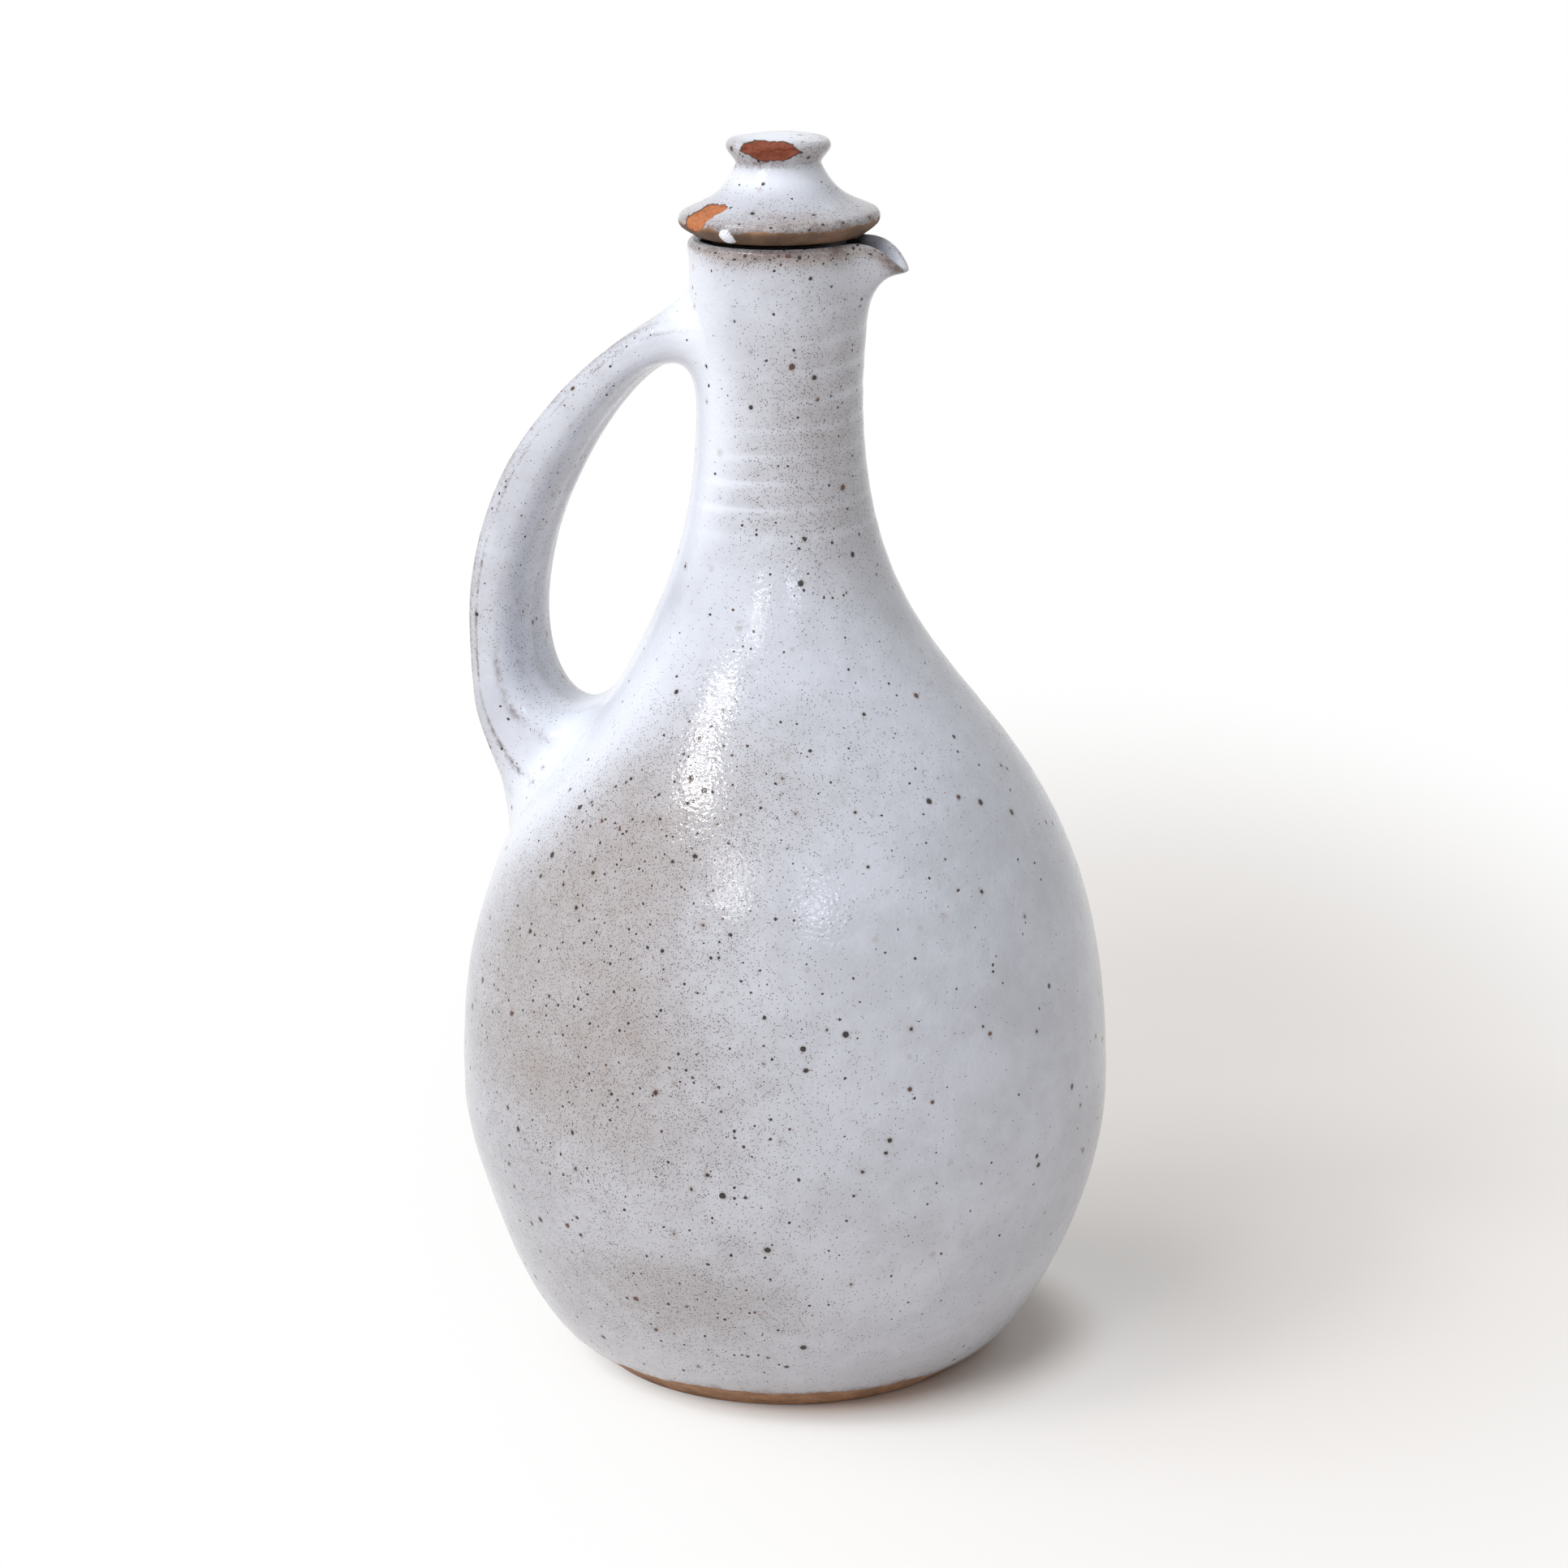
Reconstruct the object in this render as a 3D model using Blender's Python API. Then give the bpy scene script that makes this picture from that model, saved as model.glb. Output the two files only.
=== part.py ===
"""Stoneware pitcher: a thrown bottle with a pinched spout, a pulled strap handle and a loose stopper.

The pot's axis is Z and its base stands on Z = 0. The spout points to +X and the handle to -X.
All lengths are in metres.
"""

import math

import bmesh
import bpy
import numpy as np
from mathutils import Vector

# Thrown body: foot, belly, neck and rim
FOOT_RADIUS = 0.0492
BEVEL_RADIUS = 0.0570
BEVEL_HEIGHT = 0.0060
BELLY_RADIUS = 0.0845
BELLY_HEIGHT = 0.0730
NECK_RADIUS = 0.0213
NECK_HEIGHT = 0.2540
RIM_RADIUS = 0.0228
RIM_HEIGHT = 0.2950
BELLY_WALL = 0.0055
RIM_WALL = 0.0030
FLOOR_THICKNESS = 0.0080
FLOOR_FILLET = 0.0100

# Joint between the thrown body and its neck section, as a share of the rise from belly to neck
SEAM_SHARE = 0.73
SEAM_MARGIN = 0.0015

# Sweep of the body's side, as shares of each stretch's rise
LOWER_WALL_ANGLE = math.radians(36.0)
LOWER_WALL_ARM = 0.20
BELLY_ARM_BELOW = 0.39
BELLY_ARM_ABOVE = 0.62
NECK_ARM_BELOW = 0.50
NECK_ARM_ABOVE = 0.30
RIM_ARM = 0.60

# Pinched spout, pulled out of the rim
SPOUT_PULL = 0.0102
SPOUT_DROOP = 0.0062
SPOUT_DEPTH = 0.0230
SPOUT_CURL = 2.5
SPOUT_SPREAD = math.radians(24.0)

# Pulled strap handle: where its outer and inner faces leave the neck, reach furthest and meet the shoulder
HANDLE_DROP = 0.0120
HANDLE_ROOT = 0.0320
OUTER_TOP = RIM_HEIGHT - HANDLE_DROP
INNER_TOP = OUTER_TOP - HANDLE_ROOT
OUTER_REACH = 0.0828
REACH_HEIGHT = 0.1910
OUTER_BOTTOM = 0.1340
INNER_BOTTOM = 0.1690
STRAP_THICKNESS = 0.0112
STRAP_TOP_WIDTH = 0.0290
STRAP_WIDTH = 0.0335
STRAP_BOTTOM_WIDTH = 0.0380
STRAP_GROOVE = 0.0010
ROOT_DEPTH = 0.0120

# Sweep of the handle's two faces, as shares of each stretch's rise and reach
OUTER_START = (0.01, -0.09)
OUTER_ARCH = 0.71
INNER_START = (0.01, 0.52)
INNER_ARCH = 0.86
OUTER_FALL = (0.31, 0.28)
INNER_FALL = (0.65, 0.70)

# Stopper, measured up from its seat on the rim
STOPPER_HEIGHT = 0.0252
KNOB_RADIUS = 0.0129
KNOB_DEPTH = 0.0070
KNOB_CROWN = 0.0007
WAIST_RADIUS = 0.0106
BRIM_RISE = 0.0050
BRIM_OVERHANG = 0.0026
BRIM_EDGE = 0.0008
SEAT_MARGIN = 0.0006
PLUG_LENGTH = 0.0240
PLUG_TAPER = 0.0014
PLUG_WALL = 0.0045
HOLLOW_RISE = 0.0040

# Sweep of the stopper's crown and of its slope from waist to brim, as shares of each stretch
CROWN_ARM = 0.40
CROWN_EDGE_ARM = 0.60
WAIST_ARM = (0.25, 0.62)
BRIM_ARM = (0.42, 0.30)

# Clearances
FIT_GAP = 0.0003
PLUG_CLEARANCE = 0.0010

# Facets
TURNS = 48
LOWER_STEPS = 7
UPPER_STEPS = 16
COLLAR_STEPS = 7
CORNER_STEPS = 5
STOPPER_TURNS = 36
CROWN_STEPS = 4
SLOPE_STEPS = 10
STRAP_SIDES = 20
ARCH_STEPS = 18
FALL_STEPS = 10

# Roundness of the strap's section
STRAP_SQUARENESS = 2.8
GROOVE_SPREAD = 0.45

GLAZE_COLOUR = (0.72, 0.74, 0.78, 1.0)
STOPPER_COLOUR = (0.70, 0.72, 0.76, 1.0)
GLAZE_ROUGHNESS = 0.28


def bezier(start, arm_a, arm_b, end, count):
    """Points of a cubic curve, without its last one."""
    t = np.arange(count)[:, None] / count
    a, b, c, d = (np.array(p) for p in (start, arm_a, arm_b, end))
    return (1 - t) ** 3 * a + 3 * (1 - t) ** 2 * t * b + 3 * (1 - t) * t ** 2 * c + t ** 3 * d


def arc(centre, radius_r, radius_z, from_angle, to_angle, count):
    """Points of a round edge in the profile's plane, both ends included."""
    angles = np.linspace(from_angle, to_angle, count)
    return np.array(centre) + np.stack([radius_r * np.cos(angles), radius_z * np.sin(angles)], axis=-1)


def body_side():
    """The pot's outer side as (radius, height), from the bevel above the foot to the rim's edge."""
    low_rise = BELLY_HEIGHT - BEVEL_HEIGHT
    high_rise = NECK_HEIGHT - BELLY_HEIGHT
    edge_height = RIM_HEIGHT - RIM_WALL / 2
    rim_rise = edge_height - NECK_HEIGHT
    bevel = (BEVEL_RADIUS, BEVEL_HEIGHT)
    belly = (BELLY_RADIUS, BELLY_HEIGHT)
    neck = (NECK_RADIUS, NECK_HEIGHT)
    rim = (RIM_RADIUS, edge_height)
    lift = LOWER_WALL_ARM * low_rise
    bevel_arm = (
        BEVEL_RADIUS + lift * math.cos(LOWER_WALL_ANGLE),
        BEVEL_HEIGHT + lift * math.sin(LOWER_WALL_ANGLE),
    )
    belly_arm = (BELLY_RADIUS, BELLY_HEIGHT - BELLY_ARM_BELOW * low_rise)
    lower = bezier(bevel, bevel_arm, belly_arm, belly, LOWER_STEPS)
    upper = bezier(
        belly,
        (BELLY_RADIUS, BELLY_HEIGHT + BELLY_ARM_ABOVE * high_rise),
        (NECK_RADIUS, NECK_HEIGHT - NECK_ARM_BELOW * high_rise),
        neck,
        UPPER_STEPS,
    )
    collar = bezier(
        neck,
        (NECK_RADIUS, NECK_HEIGHT + NECK_ARM_ABOVE * rim_rise),
        (RIM_RADIUS, edge_height - RIM_ARM * rim_rise),
        rim,
        COLLAR_STEPS,
    )
    return np.concatenate([lower, upper, collar, [rim]])


def side_normals(side):
    """Outward unit normals along a profile that runs upwards."""
    along = np.gradient(side, axis=0)
    along /= np.linalg.norm(along, axis=1)[:, None]
    return np.stack([along[:, 1], -along[:, 0]], axis=-1)


def wall_at(height):
    """The pot's wall thins evenly from the belly's wall at the base to the rim's wall at the top."""
    return BELLY_WALL + (RIM_WALL - BELLY_WALL) * height / RIM_HEIGHT


def body_inside(side):
    """The pot's inner side, from the rim down to the middle of the floor."""
    inner = side - side_normals(side) * wall_at(side[:, 1])[:, None]
    inner = inner[inner[:, 1] > FLOOR_THICKNESS + FLOOR_FILLET]
    low, above = inner[0], inner[1]
    down = (low - above) / np.linalg.norm(low - above)
    floor_edge = (low[0] - 2 * FLOOR_FILLET, FLOOR_THICKNESS)
    floor_arm = (low[0] - FLOOR_FILLET, FLOOR_THICKNESS)
    corner = bezier(low, low + down * FLOOR_FILLET, floor_arm, floor_edge, CORNER_STEPS)
    return np.concatenate([inner[::-1], corner[1:], [floor_edge, (0.0, FLOOR_THICKNESS)]])


def seam_height():
    """Height of the joint between the body and its neck section."""
    return BELLY_HEIGHT + SEAM_SHARE * (NECK_HEIGHT - BELLY_HEIGHT)


def on_side(side, height):
    """The point of an upright profile at a height."""
    return np.array((np.interp(height, side[:, 1], side[:, 0]), height))


def below(side, height):
    """The stretch of an upright profile below a height, ending on it."""
    return np.concatenate([side[side[:, 1] < height - SEAM_MARGIN], [on_side(side, height)]])


def above(side, height):
    """The stretch of an upright profile above a height, starting on it."""
    return np.concatenate([[on_side(side, height)], side[side[:, 1] > height + SEAM_MARGIN]])


def turned(profile, steps, ring=False):
    """Spin a profile once about Z: it closes where it meets the axis, or on itself as a ring."""
    shape = bmesh.new()
    verts = [shape.verts.new((radius, 0.0, height)) for radius, height in profile]
    edges = [shape.edges.new(pair) for pair in zip(verts, verts[1:])]
    if ring:
        edges.append(shape.edges.new((verts[-1], verts[0])))
    bmesh.ops.spin(
        shape,
        geom=verts + edges,
        cent=(0.0, 0.0, 0.0),
        axis=(0.0, 0.0, 1.0),
        angle=math.tau,
        steps=steps,
        use_merge=True,
    )
    bmesh.ops.remove_doubles(shape, verts=shape.verts, dist=1e-6)
    bmesh.ops.recalc_face_normals(shape, faces=shape.faces)
    return shape


def pull_spout(shape):
    """Draw the rim out and down round +X, most at its very edge."""
    for vert in shape.verts:
        angle = math.atan2(vert.co.y, vert.co.x)
        rise = max(0.0, 1 - (RIM_HEIGHT - vert.co.z) / SPOUT_DEPTH)
        share = rise ** SPOUT_CURL * math.exp(-((angle / SPOUT_SPREAD) ** 2))
        vert.co.x += SPOUT_PULL * share * math.cos(angle)
        vert.co.y += SPOUT_PULL * share * math.sin(angle)
        vert.co.z -= SPOUT_DROOP * share


def outer_face(side):
    """The strap's outer face in its middle plane: out of the neck in a fillet, round and down the shoulder."""
    top = on_side(side, OUTER_TOP)
    far = np.array((OUTER_REACH, REACH_HEIGHT))
    bottom = on_side(side, OUTER_BOTTOM)
    drop = OUTER_TOP - REACH_HEIGHT
    fall = REACH_HEIGHT - OUTER_BOTTOM
    start = top + np.array(OUTER_START) * (far[0] - top[0], drop)
    arch = bezier(top, start, far + (0.0, OUTER_ARCH * drop), far, ARCH_STEPS)
    landing = bottom + np.array(((far[0] - bottom[0]) / 2, OUTER_FALL[1] * fall))
    down = bezier(far, far - (0.0, OUTER_FALL[0] * fall), landing, bottom, FALL_STEPS)
    return np.concatenate([arch, down, [bottom]])


def inner_face(side):
    """The strap's inner face in its middle plane: up out of the neck, over and round into the shoulder."""
    top = on_side(side, INNER_TOP)
    far = np.array((OUTER_REACH - STRAP_THICKNESS, REACH_HEIGHT))
    bottom = on_side(side, INNER_BOTTOM)
    drop = INNER_TOP - REACH_HEIGHT
    fall = REACH_HEIGHT - INNER_BOTTOM
    start = top + np.array(INNER_START) * (far[0] - top[0], drop)
    arch = bezier(top, start, far + (0.0, INNER_ARCH * drop), far, ARCH_STEPS)
    landing = bottom + np.array((INNER_FALL[1] * (far[0] - bottom[0]), 0.0))
    down = bezier(far, far - (0.0, INNER_FALL[0] * fall), landing, bottom, FALL_STEPS)
    return np.concatenate([arch, down, [bottom]])


def strap_widths():
    """The strap's width at each step, drawn out evenly from the neck to its middle and to the shoulder."""
    steps = [0, ARCH_STEPS, ARCH_STEPS + FALL_STEPS]
    return np.interp(np.arange(steps[-1] + 1), steps, [STRAP_TOP_WIDTH, STRAP_WIDTH, STRAP_BOTTOM_WIDTH])


def strap_section():
    """A rounded strap section of half size 1, with a shallow thumb groove down its outer face."""
    angles = np.arange(STRAP_SIDES) * math.tau / STRAP_SIDES
    power = 2 / STRAP_SQUARENESS
    across = np.sign(np.cos(angles)) * np.abs(np.cos(angles)) ** power
    out = np.sign(np.sin(angles)) * np.abs(np.sin(angles)) ** power
    groove = np.where(out > 0, np.exp(-((across / GROOVE_SPREAD) ** 2)), 0.0)
    return across, out, groove


def handle_shape(side):
    """Carry the strap's section between its two faces, and run it on into the pot at both roots."""
    outer = outer_face(side)
    inner = inner_face(side)
    half_widths = strap_widths() / 2
    into_neck = np.array((-ROOT_DEPTH, 0.0))
    into_shoulder = np.array((-ROOT_DEPTH, -ROOT_DEPTH / 2))
    outer = np.concatenate([[outer[0] + into_neck], outer, [outer[-1] + into_shoulder]])
    inner = np.concatenate([[inner[0] + into_neck], inner, [inner[-1] + into_shoulder]])
    half_widths = np.concatenate([half_widths[:1], half_widths, half_widths[-1:]])
    across, out, groove = strap_section()

    shape = bmesh.new()
    rings = []
    for face_out, face_in, half_width in zip(outer, inner, half_widths):
        middle = (face_out + face_in) / 2
        half_depth = np.linalg.norm(face_out - face_in) / 2
        normal = (face_out - face_in) / (2 * half_depth)
        offsets = half_depth * out - STRAP_GROOVE * groove
        spots = middle + offsets[:, None] * normal
        rings.append([
            shape.verts.new((-spot[0], half_width * share, spot[1])) for spot, share in zip(spots, across)
        ])
    for ring, following in zip(rings, rings[1:]):
        for i in range(STRAP_SIDES):
            j = (i + 1) % STRAP_SIDES
            shape.faces.new((ring[i], ring[j], following[j], following[i]))
    shape.faces.new(rings[0])
    shape.faces.new(rings[-1])
    bmesh.ops.recalc_face_normals(shape, faces=shape.faces)
    return shape


def stopper_profile():
    """The stopper's outline from the knob's crown, over the brim and plug, to the hollow's top."""
    knob_low = STOPPER_HEIGHT - KNOB_DEPTH
    brim_radius = RIM_RADIUS + BRIM_OVERHANG
    seat_radius = RIM_RADIUS - RIM_WALL / 2 + SEAT_MARGIN
    plug_radius = NECK_RADIUS - wall_at(NECK_HEIGHT) - PLUG_CLEARANCE
    tip_radius = plug_radius - PLUG_TAPER
    edge = KNOB_DEPTH / 2 - KNOB_CROWN / 2
    edge_height = STOPPER_HEIGHT - KNOB_CROWN - edge
    round_end = PLUG_WALL / 2

    rise = knob_low - BRIM_RISE
    spread = brim_radius - WAIST_RADIUS
    crown = bezier(
        (0.0, STOPPER_HEIGHT),
        (KNOB_RADIUS * CROWN_ARM, STOPPER_HEIGHT),
        (KNOB_RADIUS - edge * (1 + CROWN_EDGE_ARM), STOPPER_HEIGHT - KNOB_CROWN / 2),
        (KNOB_RADIUS - edge, STOPPER_HEIGHT - KNOB_CROWN),
        CROWN_STEPS,
    )
    lip = arc((KNOB_RADIUS - edge, edge_height), edge, edge, math.pi / 2, -math.pi / 3, 7)
    slope = bezier(
        (WAIST_RADIUS, knob_low),
        (WAIST_RADIUS + WAIST_ARM[0] * spread, knob_low - WAIST_ARM[1] * rise),
        (brim_radius - BRIM_ARM[0] * spread, BRIM_RISE + BRIM_ARM[1] * rise),
        (brim_radius - BRIM_EDGE, BRIM_RISE + BRIM_EDGE),
        SLOPE_STEPS,
    )
    brim = arc((brim_radius - BRIM_EDGE, BRIM_RISE), BRIM_EDGE, BRIM_EDGE, math.pi / 2, -math.pi / 4, 5)
    end = arc((tip_radius - round_end, round_end - PLUG_LENGTH), round_end, round_end, 0.0, -math.pi, 7)
    inner_radius = tip_radius - PLUG_WALL
    roof = arc((0.0, HOLLOW_RISE - inner_radius / 2), inner_radius, inner_radius / 2, 0.0, math.pi / 2, 6)
    seat = [(seat_radius, 0.0), (plug_radius, 0.0)]
    return np.concatenate([crown, lip, slope, brim, seat, end, roof])


def glaze(name, colour):
    """A shiny stoneware glaze."""
    material = bpy.data.materials.new(name)
    material.use_nodes = True
    shader = material.node_tree.nodes["Principled BSDF"]
    shader.inputs["Base Color"].default_value = colour
    shader.inputs["Roughness"].default_value = GLAZE_ROUGHNESS
    shader.inputs["Metallic"].default_value = 0.0
    material.diffuse_color = colour
    return material


def add_object(name, shape, material, parent):
    """Turn a shape into a named object under the pitcher's empty."""
    mesh = bpy.data.meshes.new(name)
    shape.to_mesh(mesh)
    shape.free()
    mesh.shade_smooth()
    mesh.set_sharp_from_angle(angle=math.radians(40.0))
    mesh.materials.append(material)
    item = bpy.data.objects.new(name, mesh)
    bpy.context.collection.objects.link(item)
    item.parent = parent
    return item


def add_body(side, material, parent):
    """The thrown body from the foot over the belly to the joint on the shoulder, open at the top."""
    seam = seam_height()
    base = [(0.0, 0.0), (FOOT_RADIUS, 0.0)]
    inside = below(body_inside(side)[::-1], seam)[::-1]
    shape = turned(np.concatenate([base, below(side, seam), inside]), TURNS)
    return add_object("vessel_body", shape, material, parent)


def add_neck(side, material, parent):
    """The neck section, seated on the body at the joint, with its rim pinched into the spout."""
    seam = seam_height() + FIT_GAP
    lip_centre = (RIM_RADIUS - RIM_WALL / 2, RIM_HEIGHT - RIM_WALL / 2)
    lip = arc(lip_centre, RIM_WALL / 2, RIM_WALL / 2, 0.0, math.pi, 5)
    inside = above(body_inside(side)[::-1], seam)[::-1]
    shape = turned(np.concatenate([above(side, seam)[:-1], lip, inside[1:]]), TURNS, ring=True)
    pull_spout(shape)
    return add_object("neck_section", shape, material, parent)


def add_seat_cutter(side, material, parent):
    """The pot's outer form, grown by the fit gap, that the handle's ends are cut to."""
    grown = side + side_normals(side) * FIT_GAP
    profile = np.concatenate([[(0.0, grown[0, 1])], grown, [(0.0, grown[-1, 1])]])
    cutter = add_object("handle_seat_cutter", turned(profile, TURNS), material, parent)
    cutter.hide_render = True
    cutter.display_type = 'WIRE'
    return cutter


def add_handle(side, material, parent):
    """The pulled strap, cut to sit on the neck and the shoulder."""
    handle = add_object("strap_handle", handle_shape(side), material, parent)
    seat = handle.modifiers.new("seat", 'BOOLEAN')
    seat.operation = 'DIFFERENCE'
    seat.solver = 'EXACT'
    seat.object = add_seat_cutter(side, material, parent)
    return handle


def add_stopper(material, parent):
    """The loose stopper, whose origin is on the pot's axis at its seat."""
    stopper = add_object("stopper", turned(stopper_profile(), STOPPER_TURNS), material, parent)
    stopper.location = Vector((0.0, 0.0, RIM_HEIGHT + FIT_GAP))
    return stopper


def main():
    for item in list(bpy.data.objects):
        bpy.data.objects.remove(item, do_unlink=True)
    pitcher = bpy.data.objects.new("pitcher", None)
    bpy.context.collection.objects.link(pitcher)
    side = body_side()
    pot_glaze = glaze("speckled_white_glaze", GLAZE_COLOUR)
    add_body(side, pot_glaze, pitcher)
    add_neck(side, pot_glaze, pitcher)
    add_handle(side, pot_glaze, pitcher)
    add_stopper(glaze("stopper_glaze", STOPPER_COLOUR), pitcher)


main()
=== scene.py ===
"""Looks of a stoneware pitcher: thrown body, pulled strap handle and loose stopper in a speckled white glaze.

The file is laid out as an add-on and is run as a script. Lengths are in metres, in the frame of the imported
model: Z is the pot's axis, the base stands on Z = 0, the spout points to +X and the handle to -X.
"""

import math
from functools import partial

import bpy
import numpy as np
from bpy.props import FloatProperty, FloatVectorProperty, PointerProperty
from mathutils import Matrix, Vector


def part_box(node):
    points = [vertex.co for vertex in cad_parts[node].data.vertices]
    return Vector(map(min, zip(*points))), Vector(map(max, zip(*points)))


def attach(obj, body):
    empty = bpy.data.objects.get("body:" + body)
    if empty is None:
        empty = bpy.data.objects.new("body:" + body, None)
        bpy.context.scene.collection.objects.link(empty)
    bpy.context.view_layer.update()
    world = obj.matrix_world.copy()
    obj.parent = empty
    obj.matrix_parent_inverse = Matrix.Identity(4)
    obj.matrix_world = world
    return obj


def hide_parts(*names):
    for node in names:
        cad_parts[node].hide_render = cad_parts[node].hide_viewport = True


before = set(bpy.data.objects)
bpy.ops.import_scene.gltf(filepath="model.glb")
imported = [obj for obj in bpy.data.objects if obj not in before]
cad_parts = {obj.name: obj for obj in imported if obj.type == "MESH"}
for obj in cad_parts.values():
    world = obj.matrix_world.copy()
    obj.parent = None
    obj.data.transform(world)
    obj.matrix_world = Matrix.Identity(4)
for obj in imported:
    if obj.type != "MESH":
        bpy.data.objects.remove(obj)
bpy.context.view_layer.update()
BODY_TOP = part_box("neck_section")[1].z
BELLY_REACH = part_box("vessel_body")[1].y
STOPPER_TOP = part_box("stopper")[1].z

bl_info = {
    "name": "Stoneware Pitcher",
    "version": (1, 0, 0),
    "blender": (4, 5, 0),
    "location": "View3D > Sidebar > Pitcher",
    "description": "Builds the glazed surfaces of a stoppered stoneware pitcher and a plain studio round it",
    "category": "Object",
}

MM = 0.001

# Sweep of the thrown side, as shares of each stretch's rise, and how many points each stretch has
LOWER_WALL_ANGLE = math.radians(36.0)
LOWER_WALL_ARM = 0.20
BELLY_ARMS = (0.39, 0.62)
NECK_ARMS = (0.50, 0.30)
RIM_ARM = 0.60
SIDE_POINTS = (160, 320, 120)
# How fast the spout's pull grows towards the rim, and how blunt the spout is round the rim
SPOUT_CURL = 2.5
SPOUT_BLUNTNESS = 2.7

# Rows of the body's surface: height and distance from row to row, closest on the ringed neck and the foot
ROW_GAPS = np.array((
    (0.000, 0.0007), (0.012, 0.0010), (0.040, 0.0025), (0.150, 0.0023), (0.195, 0.0010), (0.295, 0.0009),
)).T
# Inside, rows lie wider apart: this many times as far, and this much more
INSIDE_GAPS = (2.6, 0.001)
BODY_COLUMNS = 264
BASE_ROWS = 14
EDGE_ROWS = 6
TRIM_ROWS = 14
LIP_ROWS = 13
CORNER_ROWS = 14
FLOOR_ROWS = 10
# The lip's crest, in rows past the lip's start
CREST_ROW = 4
# Radius from which the base and the floor close to a point
POLE_RADIUS = 0.004
# Rounded edge of the base: how far in it starts, its arm, and its second arm and end as shares of the bevel
FOOT_ROUNDING = 0.0014
FOOT_ARM = 0.0005
FOOT_SHARES = (0.06, 0.16)

# Throwing rings by height up the side: height, depth and distance from ring to ring
RINGS = np.array((
    (0.000, 0.00000, 0.0100), (0.020, 0.00006, 0.0100), (0.070, 0.00007, 0.0140), (0.150, 0.00008, 0.0130),
    (0.172, 0.00010, 0.0090), (0.185, 0.00006, 0.0100), (0.215, 0.00007, 0.0085), (0.228, 0.00012, 0.0068),
    (0.248, 0.00012, 0.0068), (0.262, 0.00006, 0.0075), (0.280, 0.00003, 0.0080), (0.290, 0.00000, 0.0080),
)).T
RING_MOST = 1.3
# Depth of the wall's slow sag, and the heights over which it sets in
SAG_DEPTH = 0.00025
SAG_HEIGHTS = (0.01, 0.03)
# Half width of the step where the glaze ends, in millimetres, and the height over which it fades at the base
GLAZE_EDGE = 0.35
BASE_FADE = 0.0015

# Soft unevenness of the wall and its glaze: mean, swing, length of the waves and seed
RING_PATCHES = (0.6, 0.5, 0.050, 3)
RING_DRIFT = (0.0, 0.9, 0.110, 5)
SAG_PATCHES = (0.6, 0.4, 0.075, 8)
GLAZE_RIPPLES = ((0.0, 0.0006, 0.022, 11), (0.0, 0.0004, 0.007, 12))
BREAK_PATCHES = (0.8, 0.35, 0.009, 21)
RIM_PATCHES = (0.75, 0.40, 0.030, 22)
RIM_PATCH_RANGE = (0.1, 1.3)

# Bands along the rim: place along the profile from the lip's crest, and width
RIM_BEAD = (-0.0024, 0.0020)
RIM_BEAD_END = 0.0015
SPOUT_LIP = (0.0, 0.0028)
# Bands of iron, of glaze that breaks brown and of pooled glaze along the rim: strength, place and width
RIM_IRON = ((0.75, -0.0024, 0.0028), (1.7, -0.0013, 0.0011))
RIM_BREAK = (0.95, -0.0010, 0.0015)
SPOUT_BREAK = (0.75, 0.0040, 0.0007)
SPOUT_POOL = (0.6, 0.0010, 0.0016)
# Wear of the rim: its mean, how much it varies round the rim, and the side where it is strongest
RIM_WEAR = (0.70, 0.30, math.radians(-40.0))
# Rings show in the glaze above these heights; it pools in their grooves and lets iron through on their crests
RINGED_HEIGHTS = (0.215, 0.232)
RING_GROOVE = (0.78, 0.98)
RING_CREST = (0.15, 0.70)
RING_POOLED = 0.55
RING_IRON = 0.16
HALO_POOLED = 0.9
# Painted shade inside the neck, a dark stain that stands in for the shadow there: where below the crest it
# starts and is full, and how much lower at the spout
INSIDE_SHADE_EDGES = ((0.0008, 0.0026), (0.0055, 0.0065))

# Where the soft wall was pressed in by hand: angle and height of the middle, reach round and up, depth
PRESSES = (
    (-168.0, 0.167, 34.0, 0.024, 0.0056),
    (-160.0, 0.127, 40.0, 0.014, 0.0009),
    (-160.0, 0.045, 42.0, 0.020, 0.0016),
)
# Where iron lies thick in the glaze: angle and height of the patch's middle, reach round and up, strength
IRON_PATCHES = (
    (-119.0, 0.117, 30.0, 0.040, 1.05),
    (-99.0, 0.158, 24.0, 0.026, 0.62),
    (-66.0, 0.168, 36.0, 0.018, 0.22),
    (-94.0, 0.088, 30.0, 0.034, 0.42),
    (-90.0, 0.038, 26.0, 0.015, 0.40),
    (-105.0, 0.030, 50.0, 0.030, 0.22),
    (-42.0, 0.246, 50.0, 0.032, 0.62),
    (95.0, 0.105, 46.0, 0.044, 0.85),
    (58.0, 0.168, 34.0, 0.028, 0.55),
    (140.0, 0.045, 24.0, 0.016, 0.50),
    (110.0, 0.244, 48.0, 0.026, 0.50),
)
IRON_BASE = 0.06
# Least iron anywhere on the handle and the stopper
IRON_LEAST = 0.03

# Roots of the handle on the pot and the thick glaze round them: middle height, half width, half height
ROOTS = ((0.2670, 0.0360, 0.0350), (0.1545, 0.0400, 0.0310))
HALOS = ((0.2500, 0.0250, 0.0560), (0.1610, 0.0500, 0.0390))
ROOT_EDGE = (0.75, 1.45)

# Handle: sweep of its two faces, as shares of each stretch's rise and reach
OUTER_START = (0.01, -0.09)
OUTER_ARCH = 0.71
OUTER_FALL = 0.31
OUTER_LANDING = (0.5, 0.28)
INNER_START = (0.01, 0.553)
INNER_ARCH = 0.647
INNER_FALL = 0.937
# Where the inner face lands on the shoulder and the arm before it, above its lowest height; the arm's lift
INNER_LANDING = (0.0091, -0.0142, 0.0029)
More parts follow.
